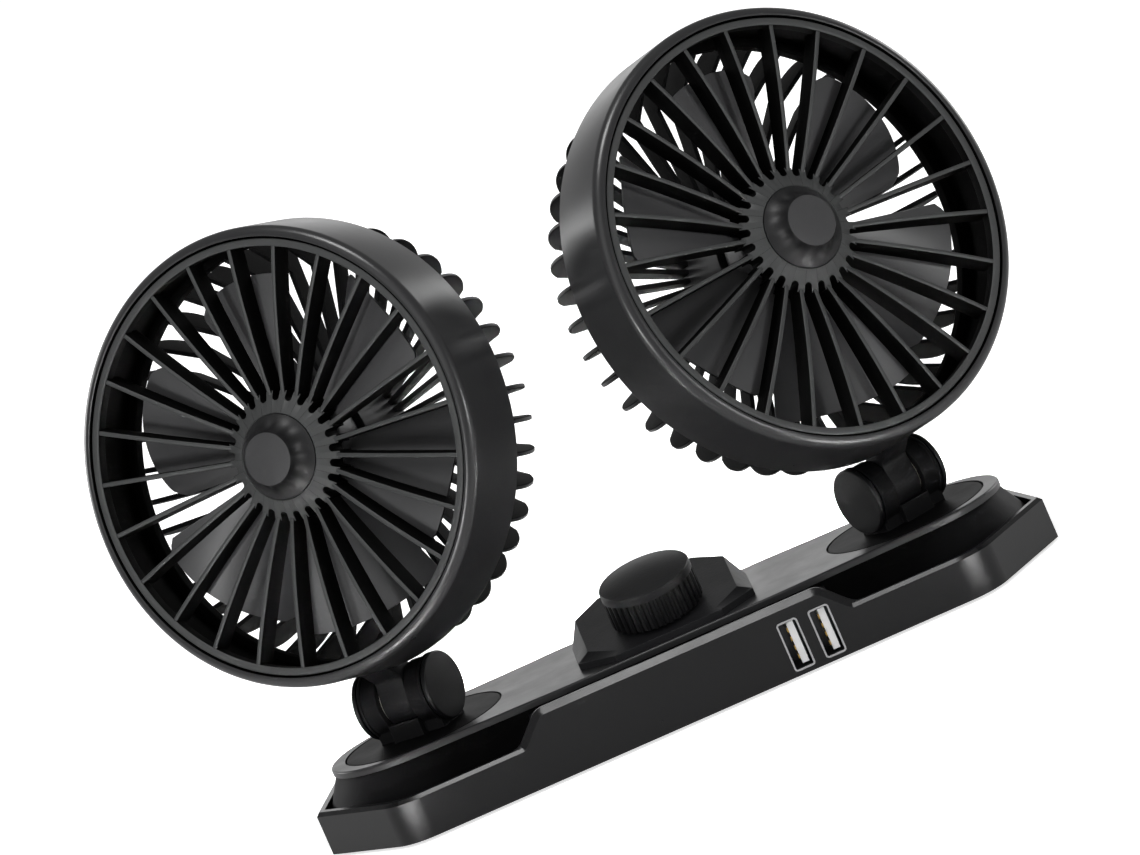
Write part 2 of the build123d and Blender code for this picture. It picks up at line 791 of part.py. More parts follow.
# Impeller: six broad cambered blades lofted through three sections, trimmed to the tip circle
with BuildPart() as blade:
    for radius, chord, pitch in (
        (impeller_radius - blade_root_sink, blade_root_chord, blade_root_pitch),
        (blade_middle_radius, blade_middle_chord, blade_middle_pitch),
        (blade_tip_radius, blade_tip_chord, blade_tip_pitch),
    ):
        section_plane = Plane(origin=(radius, 0, -blade_middle_drop), x_dir=(0, 1, 0), z_dir=(1, 0, 0))
        with BuildSketch(section_plane.rotated((0, 0, -pitch))):
            with BuildLine():
                front = ThreePointArc(
                    (-chord / 2, blade_thickness / 2),
                    (0, blade_thickness / 2 + blade_camber_share * chord),
                    (chord / 2, blade_thickness / 2),
                )
                back = ThreePointArc(
                    (chord / 2, -blade_thickness / 2),
                    (0, -blade_thickness / 2 + blade_camber_share * chord),
                    (-chord / 2, -blade_thickness / 2),
                )
                Line(front @ 1, back @ 0)
                Line(back @ 1, front @ 0)
            make_face()
    loft()
    with BuildSketch(Plane.XY):
        Circle(blade_tip_radius)
    extrude(amount=drum_depth, both=True, mode=Mode.INTERSECT)

with BuildPart() as impeller:
    with BuildSketch(Plane.XY.offset(-impeller_front_drop)):
        Circle(impeller_radius)
    extrude(amount=-impeller_depth)
    fillet(impeller.edges().group_by(Axis.Z)[-1], impeller_edge_radius)
    with PolarLocations(0, blade_count, start_angle=blade_start_angle):
        add(blade.part)
    with BuildSketch(Plane.XY.offset(-impeller_front_drop - impeller_wall)):
        Circle(impeller_radius - impeller_wall)
        Circle(impeller_boss_radius, mode=Mode.SUBTRACT)
    extrude(amount=-impeller_depth, mode=Mode.SUBTRACT)
    with BuildSketch(Plane.XY.offset(-impeller_front_drop - impeller_wall)):
        Circle(motor_shaft_radius)
    extrude(amount=-impeller_depth, mode=Mode.SUBTRACT)
keep_pair("impeller", impeller, head_plane)

with BuildPart() as motor_shaft:
    with BuildSketch(Plane.XY.offset(-impeller_front_drop - impeller_wall)):
        Circle(motor_shaft_radius)
    extrude(amount=-motor_shaft_length)
keep_pair("motor_shaft", motor_shaft, head_plane)

with BuildPart() as motor:
    with BuildSketch(Plane.XY.offset(-motor_front_drop)):
        Circle(motor_radius)
    extrude(amount=-motor_length)
    with BuildSketch(Plane.XY.offset(-motor_front_drop)):
        Circle(motor_boss_radius)
    extrude(amount=motor_boss_height)
    with BuildSketch(Plane.XY.offset(-motor_front_drop + motor_boss_height)):
        Circle(motor_shaft_radius + running_gap)
    extrude(amount=-motor_length, mode=Mode.SUBTRACT)
    with BuildSketch(Plane.XY.offset(-motor_front_drop - motor_length)):
        with GridLocations(motor_screw_spacing, 0, 2, 1):
            Circle(motor_screw_radius)
    extrude(amount=motor_screw_length - motor_cup_back, mode=Mode.SUBTRACT)
keep_pair("motor", motor, head_plane)

# Rear grille: a cup for the motor and a ring in the drum, joined by lobed fins
with BuildPart() as fin:
    with BuildSketch(Plane.XZ):
        with BuildLine():
            Polyline(
                (motor_cup_radius - fin_root, -fin_back_drop),
                (motor_cup_radius - fin_root, -fin_back_drop + fin_depth),
                (fin_rim_radius - fin_depth, -fin_rim_drop + fin_depth),
                (rear_ring_inner + fin_root, -drum_depth + fin_root),
                (rear_ring_outer, -drum_depth - rear_ring_gap),
            )
            lobe = ThreePointArc(
                (rear_ring_outer, -drum_depth - rear_ring_gap),
                (fin_lobe_radius, -fin_lobe_drop),
                (fin_rim_radius, -fin_rim_drop),
            )
            ThreePointArc(
                lobe @ 1,
                (fin_dome_radius, -fin_dome_drop),
                (motor_cup_radius - fin_root, -fin_back_drop),
            )
        make_face()
    extrude(amount=fin_thickness / 2, both=True)

with BuildPart() as rear_grille:
    with BuildSketch(Plane.XZ):
        with Locations(((rear_ring_outer + rear_ring_inner) / 2, -drum_depth + rear_ring_depth / 2)):
            Rectangle(rear_ring_wall, rear_ring_depth)
        with BuildLine():
            Polyline(
                (0, -fin_back_drop),
                (motor_cup_radius, -fin_back_drop),
                (motor_cup_radius, -motor_front_drop),
                (motor_radius + motor_cup_gap, -motor_front_drop),
                (motor_radius + motor_cup_gap, -motor_front_drop - motor_length),
                (0, -motor_front_drop - motor_length),
                close=True,
            )
        make_face()
    revolve(axis=Axis.Z)
    with PolarLocations(0, fin_count):
        add(fin.part)
    with BuildSketch(Plane.XY.offset(-fin_back_drop)):
        with GridLocations(motor_screw_spacing, 0, 2, 1):
            Circle(motor_screw_radius)
    extrude(amount=motor_cup_back, mode=Mode.SUBTRACT)
keep_pair("rear_grille", rear_grille, head_plane)

with BuildPart() as motor_screws:
    with BuildSketch(Plane.XY.offset(-fin_back_drop)):
        with GridLocations(motor_screw_spacing, 0, 2, 1):
            Circle(motor_screw_radius)
    extrude(amount=motor_screw_length)
    with BuildSketch(Plane.XY.offset(-fin_back_drop)):
        with GridLocations(motor_screw_spacing, 0, 2, 1):
            Circle(motor_screw_head_radius)
    extrude(amount=-motor_screw_head_height)
keep_pair("motor_screws", motor_screws, head_plane)

# Control housing: a faceted pedestal whose top panel leans to the front
with BuildPart() as control_housing:
    with BuildSketch(Plane.XY.offset(spine_height)) as plinth_plan:
        with Locations((0, (plinth_back - plinth_front) / 2)):
            Rectangle(plinth_length, plinth_front + plinth_back)
        chamfer(plinth_plan.vertices(), plinth_corner)
    extrude(amount=plinth_height)
    with BuildSketch(Plane.XY.offset(spine_height + plinth_height)):
        add(plinth_plan.sketch)
    with BuildSketch(control_plane) as panel_plan:
        with Locations((0, (panel_back - panel_front) / 2)):
            Rectangle(panel_length, panel_front + panel_back)
        chamfer(panel_plan.vertices(), panel_corner)
    loft(ruled=True)
    with BuildSketch(control_plane.offset(-panel_thickness)):
        Circle(control_bore_radius)
    extrude(amount=-control_height + spine_height - overrun, mode=Mode.SUBTRACT)
    with BuildSketch(control_plane):
        Circle(bushing_radius + bushing_gap)
    extrude(amount=-panel_thickness, mode=Mode.SUBTRACT)
    with BuildSketch(Plane.XY.offset(spine_height)):
        with Locations((0, housing_screw_back)):
            with GridLocations(housing_screw_spacing, 0, 2, 1):
                Circle(screw_radius)
    extrude(amount=housing_screw_length - cover_thickness - deck_thickness, mode=Mode.SUBTRACT)
keep("control_housing", control_housing)

with BuildPart() as housing_screws:
    with BuildSketch(Plane.XY.offset(deck_bottom)):
        with Locations((0, housing_screw_back)):
            with GridLocations(housing_screw_spacing, 0, 2, 1):
                Circle(screw_head_radius)
    extrude(amount=-screw_head_height)
    with BuildSketch(Plane.XY.offset(deck_bottom)):
        with Locations((0, housing_screw_back)):
            with GridLocations(housing_screw_spacing, 0, 2, 1):
                Circle(screw_radius)
    extrude(amount=housing_screw_length)
keep("housing_screws", housing_screws)

with BuildPart() as rotary_switch:
    with BuildSketch(Plane.XY.offset(-panel_thickness)):
        RectangleRounded(switch_size, switch_size, switch_corner)
    extrude(amount=-switch_depth)
    with BuildSketch(Plane.XY.offset(-panel_thickness)):
        Circle(bushing_radius)
    extrude(amount=bushing_height)
    with BuildSketch(Plane.XY.offset(bushing_top)):
        Circle(switch_shaft_radius + running_gap)
    extrude(amount=-bushing_height - switch_depth / 2, mode=Mode.SUBTRACT)
keep_at("rotary_switch", rotary_switch, control_plane)

with BuildPart() as switch_nut:
    with BuildSketch():
        RegularPolygon(nut_across_flats / 2, 6, major_radius=False)
        Circle(bushing_radius, mode=Mode.SUBTRACT)
    extrude(amount=nut_thickness)
keep_at("switch_nut", switch_nut, control_plane)

with BuildPart() as switch_shaft:
    with BuildSketch(Plane.XY.offset(-panel_thickness - switch_depth / 2)):
        Circle(switch_shaft_radius)
    extrude(amount=panel_thickness + switch_depth / 2 + switch_shaft_height)
keep_at("switch_shaft", switch_shaft, control_plane)

# Knob: a domed cap with a plain rim over a ring of grip ribs, and a socket for the shaft
with BuildPart() as speed_knob:
    with BuildSketch(Plane.XZ) as knob_profile:
        with BuildLine():
            dome = TangentArc((0, knob_top), (knob_radius, knob_gap + knob_height), tangent=(1, 0))
            Polyline(dome @ 1, (knob_radius, knob_gap), (0, knob_gap), dome @ 0)
        make_face()
        fillet(knob_profile.vertices().sort_by_distance((knob_radius, knob_gap + knob_height))[0], knob_edge_radius)
    revolve(axis=Axis.Z)
    with BuildSketch(Plane.XY.offset(knob_gap)):
        Circle(knob_radius - knob_wall)
        Circle(knob_boss_radius, mode=Mode.SUBTRACT)
    extrude(amount=knob_height - knob_wall, mode=Mode.SUBTRACT)
    with BuildSketch(Plane.XY.offset(knob_gap)):
        Circle(knob_boss_radius)
    extrude(amount=nut_thickness + knob_boss_gap - knob_gap, mode=Mode.SUBTRACT)
    with BuildSketch(Plane.XY.offset(knob_gap)):
        Circle(switch_shaft_radius)
    extrude(amount=switch_shaft_height - knob_gap, mode=Mode.SUBTRACT)
    with BuildSketch(Plane.XY.offset(knob_gap)):
        with PolarLocations(knob_radius, knob_rib_count):
            Rectangle(2 * knob_groove_depth, knob_groove_width)
    extrude(amount=knob_height - knob_rim, mode=Mode.SUBTRACT)
keep_at("speed_knob", speed_knob, control_plane)

# Power ports in the front wall: a steel shell, a tongue with four contacts and a thin frame each
for side, shift in (("left", -usb_spacing / 2), ("right", usb_spacing / 2)):
    port_x = usb_pair_middle + shift
    with BuildPart() as usb_shell:
        with BuildSketch(Plane.XZ.offset(front_reach)):
            with Locations((port_x, usb_middle_height)):
                RectangleRounded(usb_mouth_width + 2 * usb_sheet, usb_mouth_height + 2 * usb_sheet, usb_corner)
        extrude(amount=-usb_depth)
        with BuildSketch(Plane.XZ.offset(front_reach)):
            with Locations((port_x, usb_middle_height)):
                RectangleRounded(usb_mouth_width, usb_mouth_height, usb_corner - usb_sheet)
        extrude(amount=-usb_depth + usb_sheet, mode=Mode.SUBTRACT)
    keep(f"usb_shell_{side}", usb_shell)

    with BuildPart() as usb_frame:
        with BuildSketch(Plane.XZ.offset(front_reach)):
            with Locations((port_x, usb_middle_height)):
                RectangleRounded(
                    usb_mouth_width + 2 * usb_frame_width,
                    usb_mouth_height + 2 * usb_frame_width,
                    usb_corner + usb_frame_width - usb_sheet,
                )
                RectangleRounded(usb_mouth_width, usb_mouth_height, usb_corner - usb_sheet, mode=Mode.SUBTRACT)
        extrude(amount=usb_frame_proud)
    keep(f"usb_frame_{side}", usb_frame)

    with BuildPart() as usb_tongue:
        with BuildSketch(Plane.XZ.offset(front_reach - usb_depth + usb_sheet)):
            with Locations((port_x + usb_tongue_side, usb_middle_height)):
                Rectangle(usb_tongue_width, usb_tongue_height)
        extrude(amount=usb_tongue_depth)
    keep(f"usb_tongue_{side}", usb_tongue)

    with BuildPart() as usb_contacts:
        with BuildSketch(Plane.XZ.offset(front_reach - usb_depth + usb_sheet)):
            with Locations((port_x + usb_tongue_side - usb_tongue_width / 2, usb_middle_height)):
                with GridLocations(0, usb_contact_pitch, 1, usb_contact_count):
                    Rectangle(usb_contact_thickness, usb_contact_height, align=(Align.MAX, Align.CENTER))
        extrude(amount=usb_tongue_depth - usb_contact_setback)
    keep(f"usb_contacts_{side}", usb_contacts)

# Circuit board on the standoffs of the bottom cover, with its screws
with BuildPart() as circuit_board:
    with BuildSketch(Plane.XY.offset(board_height)):
        with Locations((0, -board_forward)):
            Rectangle(board_length, board_width)
            with GridLocations(board_length - 2 * standoff_inset, board_width - 2 * standoff_inset, 2, 2):
                Circle(board_screw_radius, mode=Mode.SUBTRACT)
    extrude(amount=board_thickness)
keep("circuit_board", circuit_board)

with BuildPart() as board_screws:
    with BuildSketch(Plane.XY.offset(board_height + board_thickness)):
        with Locations((0, -board_forward)):
            with GridLocations(board_length - 2 * standoff_inset, board_width - 2 * standoff_inset, 2, 2):
                Circle(standoff_radius)
    extrude(amount=screw_head_height)
    with BuildSketch(Plane.XY.offset(board_height + board_thickness)):
        with Locations((0, -board_forward)):
            with GridLocations(board_length - 2 * standoff_inset, board_width - 2 * standoff_inset, 2, 2):
                Circle(board_screw_radius)
    extrude(amount=-board_thickness - board_screw_length)
keep("board_screws", board_screws)

# Rubber gland at the back, where the supply cord enters
with BuildPart() as cable_gland:
    with BuildSketch(Plane.XZ.offset(-back_reach)):
        with Locations((0, gland_height)):
            Circle(gland_flange_radius)
    extrude(amount=-gland_flange_thickness)
    with BuildSketch(Plane.XZ.offset(-back_reach)):
        with Locations((0, gland_height)):
            Circle(gland_radius)
    extrude(amount=2 * base_wall)
    with BuildSketch(Plane.XZ.offset(-back_reach - gland_flange_thickness)):
        with Locations((0, gland_height)):
            Circle(gland_bore_radius)
    extrude(amount=gland_flange_thickness + 2 * base_wall, mode=Mode.SUBTRACT)
keep("cable_gland", cable_gland)

os.makedirs("parts", exist_ok=True)
for name, piece in pieces.items():
    export_step(piece, f"parts/{name}.step")
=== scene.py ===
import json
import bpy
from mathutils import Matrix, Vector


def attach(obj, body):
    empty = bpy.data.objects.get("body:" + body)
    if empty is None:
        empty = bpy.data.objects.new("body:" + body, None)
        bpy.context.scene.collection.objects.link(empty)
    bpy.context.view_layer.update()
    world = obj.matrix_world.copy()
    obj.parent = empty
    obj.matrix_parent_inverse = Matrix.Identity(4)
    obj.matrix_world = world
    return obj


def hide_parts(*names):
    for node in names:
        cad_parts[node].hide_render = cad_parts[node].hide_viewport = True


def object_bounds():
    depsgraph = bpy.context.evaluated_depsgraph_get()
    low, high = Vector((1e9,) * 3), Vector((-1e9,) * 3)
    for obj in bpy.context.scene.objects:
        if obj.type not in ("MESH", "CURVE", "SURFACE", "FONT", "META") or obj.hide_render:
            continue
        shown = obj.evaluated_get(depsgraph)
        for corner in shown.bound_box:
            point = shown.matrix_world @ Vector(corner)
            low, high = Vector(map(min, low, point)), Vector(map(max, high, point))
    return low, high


bl_info = {
    "name": "Dual Head Car Fan",
    "version": (1, 0, 0),
    "blender": (4, 5, 0),
    "location": "3D View > Sidebar > Car Fan",
    "description": "Builds the looks of a dashboard fan with two heads on a long base",
    "category": "Object",
}

from math import cos, pi, radians, sin, sqrt

import bmesh
import bpy
from mathutils import Matrix, Vector

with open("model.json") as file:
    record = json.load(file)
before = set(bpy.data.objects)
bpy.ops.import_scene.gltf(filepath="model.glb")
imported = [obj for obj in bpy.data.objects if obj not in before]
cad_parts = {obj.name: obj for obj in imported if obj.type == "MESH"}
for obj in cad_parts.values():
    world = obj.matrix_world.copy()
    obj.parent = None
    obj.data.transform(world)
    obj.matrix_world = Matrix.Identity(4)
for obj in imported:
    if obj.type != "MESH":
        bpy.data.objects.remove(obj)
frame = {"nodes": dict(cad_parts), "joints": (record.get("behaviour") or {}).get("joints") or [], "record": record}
cad_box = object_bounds()

MM = 0.001
MICRON = 0.000001
SIDES = ("left", "right")
JOINTS = {joint["name"]: joint for joint in frame["joints"]}


def linear(hex_colour):
    """The linear colour that a shader wants, from an sRGB hex value."""
    channels = [int(hex_colour[i : i + 2], 16) / 255 for i in (1, 3, 5)]
    return [c / 12.92 if c <= 0.04045 else ((c + 0.055) / 1.055) ** 2.4 for c in channels]


def axes_at(origin, x_axis, z_axis):
    """A matrix from millimetres in a group's own frame to metres in the row's frame."""
    x_axis, z_axis = Vector(x_axis).normalized(), Vector(z_axis).normalized()
    y_axis = z_axis.cross(x_axis)
    turned = Matrix((x_axis, y_axis, z_axis)).transposed().to_4x4()
    return Matrix.Translation(Vector(origin)) @ turned @ Matrix.Scale(MM, 4)


# The left head's frame has its origin in the middle of the grille's front plane, Z forward
# along the fan's axis and X across. The right head is its mirror image. The control frame
# has its origin where the knob stands on the pedestal, with Z along the shaft.
lateral = -Vector(JOINTS["tilt_left"]["axis"])
HEAD = axes_at(JOINTS["fan_spin_left"]["pos_m"], lateral, JOINTS["fan_spin_left"]["axis"])
CONTROL = axes_at(JOINTS["knob_turn"]["pos_m"], (1, 0, 0), JOINTS["knob_turn"]["axis"])


# Values a user would change


class CARFAN_PG_sizes(bpy.types.PropertyGroup):
    rib_count: bpy.props.IntProperty(
        name="Grille Ribs", description="Ribs between the hub ring and the rim", default=25, min=3
    )
    rib_thickness: bpy.props.FloatProperty(
        name="Rib Thickness",
        description="Thickness of one rib",
        default=1.25 * MM,
        unit="LENGTH",
    )
    fin_count: bpy.props.IntProperty(
        name="Rear Fins", description="Fins of the rear grille", default=42, min=3
    )
    fin_thickness: bpy.props.FloatProperty(
        name="Fin Thickness",
        description="Thickness of one rear fin",
        default=1.2 * MM,
        unit="LENGTH",
    )
    blade_count: bpy.props.IntProperty(
        name="Blades", description="Blades of one impeller", default=6, min=2
    )
    knob_rib_count: bpy.props.IntProperty(
        name="Knob Ribs", description="Grip ribs round the knob", default=36, min=6
    )
    edge_rounding: bpy.props.FloatProperty(
        name="Edge Rounding",
        description="Rounding of moulded edges",
        default=0.35 * MM,
        unit="LENGTH",
    )
    moulding_grain: bpy.props.FloatProperty(
        name="Moulding Grain",
        description="Grain size of the eroded mould texture",
        default=0.7 * MM,
        unit="LENGTH",
    )


class CARFAN_PG_colours(bpy.types.PropertyGroup):
    shell: bpy.props.FloatVectorProperty(
        name="Shell",
        description="Black ABS of the base",
        subtype="COLOR",
        default=linear("#0f0f10"),
    )
    spine: bpy.props.FloatVectorProperty(
        name="Spine",
        description="Smoother ABS of the spine cover",
        subtype="COLOR",
        default=linear("#262627"),
    )
    blade: bpy.props.FloatVectorProperty(
        name="Blades",
        description="Black polypropylene of the impellers",
        subtype="COLOR",
        default=linear("#4c4c4d"),
    )
    knob: bpy.props.FloatVectorProperty(
        name="Knob",
        description="Soft matt ABS of the knob",
        subtype="COLOR",
        default=linear("#0f0f10"),
    )
    backdrop: bpy.props.FloatVectorProperty(
        name="Backdrop",
        description="Pale floor round the object",
        subtype="COLOR",
        default=linear("#fafafa"),
    )


# Meshes


def mesh_from(name, vertices, faces):
    """A closed mesh in millimetres with doubles merged and normals outward."""
    merge = 1e-4
    bm = bmesh.new()
    points = [bm.verts.new(v) for v in vertices]
    for face in faces:
        bm.faces.new([points[i] for i in face])
    bmesh.ops.remove_doubles(bm, verts=bm.verts, dist=merge)
    bmesh.ops.dissolve_degenerate(bm, edges=bm.edges, dist=merge)
    bmesh.ops.recalc_face_normals(bm, faces=bm.faces)
    mesh = bpy.data.meshes.new(name)
    bm.to_mesh(mesh)
    bm.free()
    return mesh


def skin(name, loops, closed=False):
    """Skins loops of equal length, either round in a ring or with an end face on both sides."""
    n = len(loops[0])
    vertices = [p for loop in loops for p in loop]
    faces = []
    count = len(loops) if closed else len(loops) - 1
    for i in range(count):
        a, b = i * n, (i + 1) % len(loops) * n
        for k in range(n):
            m = (k + 1) % n
            faces.append((a + k, a + m, b + m, b + k))
    if not closed:
        faces += [tuple(reversed(range(n))), tuple(range(len(vertices) - n, len(vertices)))]
    return mesh_from(name, vertices, faces)


def lathe(name, profile, segments):
    """Turns a closed outline of (radius, height) pairs round the Z axis."""
    turns = [2 * pi * i / segments for i in range(segments)]
    loops = [[(r * cos(t), r * sin(t), z) for r, z in profile] for t in turns]
    return skin(name, loops, closed=True)


def rounded(corners, radius, steps):
    """Rounds the corners of a closed outline. A third value in a corner is its own radius.
    The rounding takes up less than half of each side, so neighbours never meet."""
    outline = []
    n = len(corners)
    side_share, least = 0.45, 1e-4
    for i in range(n):
        p = Vector(corners[i][:2])
        own = corners[i][2] if len(corners[i]) > 2 else radius
        a, b = Vector(corners[i - 1][:2]) - p, Vector(corners[(i + 1) % n][:2]) - p
        reach = min(own, a.length * side_share, b.length * side_share)
        if reach < least:
            outline.append(tuple(p))
            continue
        start, end = p + a.normalized() * reach, p + b.normalized() * reach
        for k in range(steps + 1):
            t = k / steps
            outline.append(tuple(start * (1 - t) ** 2 + p * 2 * t * (1 - t) + end * t * t))
    return outline


def arc_through(a, b, c, steps):
    """Points on the circle through three points of a plane, from the first to the last."""
    (ax, ay), (bx, by), (cx, cy) = a, b, c
    aa, bb, cc = ax**2 + ay**2, bx**2 + by**2, cx**2 + cy**2
    d = 2 * (ax * (by - cy) + bx * (cy - ay) + cx * (ay - by))
    ux = (aa * (by - cy) + bb * (cy - ay) + cc * (ay - by)) / d
    uy = (aa * (cx - bx) + bb * (ax - cx) + cc * (bx - ax)) / d
    centre = Vector((ux, uy))
    first, middle, last = (Vector(p) - centre for p in (a, b, c))
    sweep = first.angle_signed(middle) + middle.angle_signed(last)
    turns = [Matrix.Rotation(-sweep * i / steps, 2) for i in range(steps + 1)]
    return [tuple(centre + turn @ first) for turn in turns]


def ribbon(name, crest, foot, thickness, rounding):
    """A plate between two lines of equal length in the XZ plane, with a rounded crest."""
    h = thickness / 2
    loops = []
    for (r, top), (q, low) in zip(crest, foot):
        along = Vector((r - q, 0, top - low))
        depth = along.length
        along /= depth
        down = Vector((q, 0, low))
        section = [(-h, 0.0), (-h, depth - rounding)]
        section += [(-h * 0.86, depth - rounding * 0.3), (-h * 0.6, depth)]
        section += [(-y, z) for y, z in reversed(section)]
        loops.append([down + along * z + Vector((0, y, 0)) for y, z in section])
    return skin(name, loops)


def joined(name, *meshes):
    """One mesh out of several, each keeping its own shading and materials by index."""
    bm = bmesh.new()
    for mesh in meshes:
        bm.from_mesh(mesh)
    result = bpy.data.meshes.new(name)
    bm.to_mesh(result)
    bm.free()
    return result


def shade(mesh, angle):
    """Smooth shading that breaks at edges sharper than the angle."""
    mesh.shade_smooth()
    mesh.set_sharp_from_angle(angle=radians(angle))
    return mesh


def baked(mesh, *modifiers):
    """The mesh with modifiers applied, each given as (kind, settings, node group inputs)."""
    carrier = bpy.data.objects.new("carrier", mesh)
    bpy.context.scene.collection.objects.link(carrier)
    for kind, settings, inputs in modifiers:
        modifier = carrier.modifiers.new(kind.title(), kind)
        for key, value in settings.items():
            setattr(modifier, key, value)
        if inputs:
            for item in modifier.node_group.interface.items_tree:
                if item.name in inputs:
                    modifier[item.identifier] = inputs[item.name]
    graph = bpy.context.evaluated_depsgraph_get()
    result = bpy.data.meshes.new_from_object(carrier.evaluated_get(graph), depsgraph=graph)
    result.name = mesh.name
    bpy.data.objects.remove(carrier)
    return result


def add_node(tree, kind, links=None, **settings):
    """Adds a node with its settings. links maps an input to an output socket or a plain value."""
    node = tree.nodes.new(kind)
    for key, value in settings.items():
        setattr(node, key, value)
    for key, value in (links or {}).items():
        if isinstance(value, bpy.types.NodeSocket):
            tree.links.new(value, node.inputs[key])
        else:
            node.inputs[key].default_value = value
    return node


def radial_tree():
    """Repeats the incoming piece round the Z axis and gives the result its material."""
    tree = bpy.data.node_groups.new("Radial Repeat", "GeometryNodeTree")
    sockets = tree.interface
    sockets.new_socket("Geometry", in_out="INPUT", socket_type="NodeSocketGeometry")
    sockets.new_socket("Count", in_out="INPUT", socket_type="NodeSocketInt")
    sockets.new_socket("Start Angle", in_out="INPUT", socket_type="NodeSocketFloat")
    sockets.new_socket("Material", in_out="INPUT", socket_type="NodeSocketMaterial")
    sockets.new_socket("Geometry", in_out="OUTPUT", socket_type="NodeSocketGeometry")
    given = add_node(tree, "NodeGroupInput").outputs
    index = add_node(tree, "GeometryNodeInputIndex").outputs[0]
    points = add_node(tree, "GeometryNodePoints", {"Count": given["Count"]}).outputs[0]
    step = add_node(
        tree, "ShaderNodeMath", {0: 2 * pi, 1: given["Count"]}, operation="DIVIDE"
    ).outputs[0]
    turn = add_node(
        tree,
        "ShaderNodeMath",
        {0: index, 1: step, 2: given["Start Angle"]},
        operation="MULTIPLY_ADD",
    ).outputs[0]
    spin = add_node(tree, "ShaderNodeCombineXYZ", {"Z": turn}).outputs[0]
    copies = add_node(
        tree,
        "GeometryNodeInstanceOnPoints",
        {"Points": points, "Instance": given["Geometry"], "Rotation": spin},
    ).outputs[0]
    real = add_node(tree, "GeometryNodeRealizeInstances", {"Geometry": copies}).outputs[0]
    painted = add_node(
        tree, "GeometryNodeSetMaterial", {"Geometry": real, "Material": given["Material"]}
    ).outputs[0]
    add_node(tree, "NodeGroupOutput", {"Geometry": painted})
    return tree


def repeated(mesh, count, material, start=0.0):
    """The mesh repeated round the Z axis, from the start angle on."""
    tree = bpy.data.node_groups.get("Radial Repeat") or radial_tree()
    inputs = {"Count": count, "Start Angle": start, "Material": material}
    return baked(mesh, ("NODES", {"node_group": tree}, inputs))


def put(name, mesh, body, nodes, material=None):
    """Files a finished mesh in the row's frame as the piece that stands for some CAD nodes."""
    if material is not None:
        mesh.materials.clear()
        mesh.materials.append(material)
    mesh.name = name
    piece = bpy.data.objects.new(name, mesh)
    bpy.context.scene.collection.objects.link(piece)
    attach(piece, body)
    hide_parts(*nodes)
    return piece


def put_pair(name, mesh, matrix, body, nodes, material=None):
    """Files the mesh on the left and its mirror image on the right."""
    for side in SIDES:
        copy = mesh.copy()
        copy.transform(matrix)
        if side == "right":
            copy.transform(Matrix.Scale(-1, 4, (1, 0, 0)))
            copy.flip_normals()
        replaced = [f"{node}_{side}" for node in nodes]
        put(f"{name}_{side}", copy, f"{body}_{side}", replaced, material)


def softened(name, node, body, material, rounding):
    """A copy of a CAD node with its triangles merged to faces and its edges softly rounded."""
    same_point, flat_edge, flat_face = 1 * MICRON, radians(0.6), radians(0.5)
    rounded_edge, sharp_edge = 30, 40
    bm = bmesh.new()
    bm.from_mesh(frame["nodes"][node].data)
    bmesh.ops.remove_doubles(bm, verts=bm.verts, dist=same_point)
    inner = [e for e in bm.edges if len(e.link_faces) == 2]
    flat = [e for e in inner if e.calc_face_angle(0) < flat_edge]
    bmesh.ops.dissolve_edges(bm, edges=flat, use_verts=False)
    bmesh.ops.dissolve_limit(
        bm,
        angle_limit=flat_face,
        verts=bm.verts,
        edges=bm.edges,
        use_dissolve_boundaries=False,
    )
    bm.normal_update()
    mesh = bpy.data.meshes.new(name)
    bm.to_mesh(mesh)
    bm.free()
    bevel = {
        "width": rounding,
        "segments": 2,
        "limit_method": "ANGLE",
        "angle_limit": radians(rounded_edge),
        "use_clamp_overlap": True,
        "harden_normals": False,
        "miter_outer": "MITER_ARC",
    }
    weights = {"mode": "FACE_AREA", "keep_sharp": True}
    soft = shade(baked(mesh, ("BEVEL", bevel, None)), sharp_edge)
    soft = baked(soft, ("WEIGHTED_NORMAL", weights, None))
    return put(name, soft, body, [node], material)


# Materials


def new_material(name):
    """An empty node material with its output, shader and object coordinates."""
    material = bpy.data.materials.new(name)
    material.use_nodes = True
    tree = material.node_tree
    tree.nodes.clear()
    shader = add_node(tree, "ShaderNodeBsdfPrincipled")
    add_node(tree, "ShaderNodeOutputMaterial", {"Surface": shader.outputs[0]})
    place = add_node(tree, "ShaderNodeTexCoord").outputs["Object"]
    return material, tree, shader, place


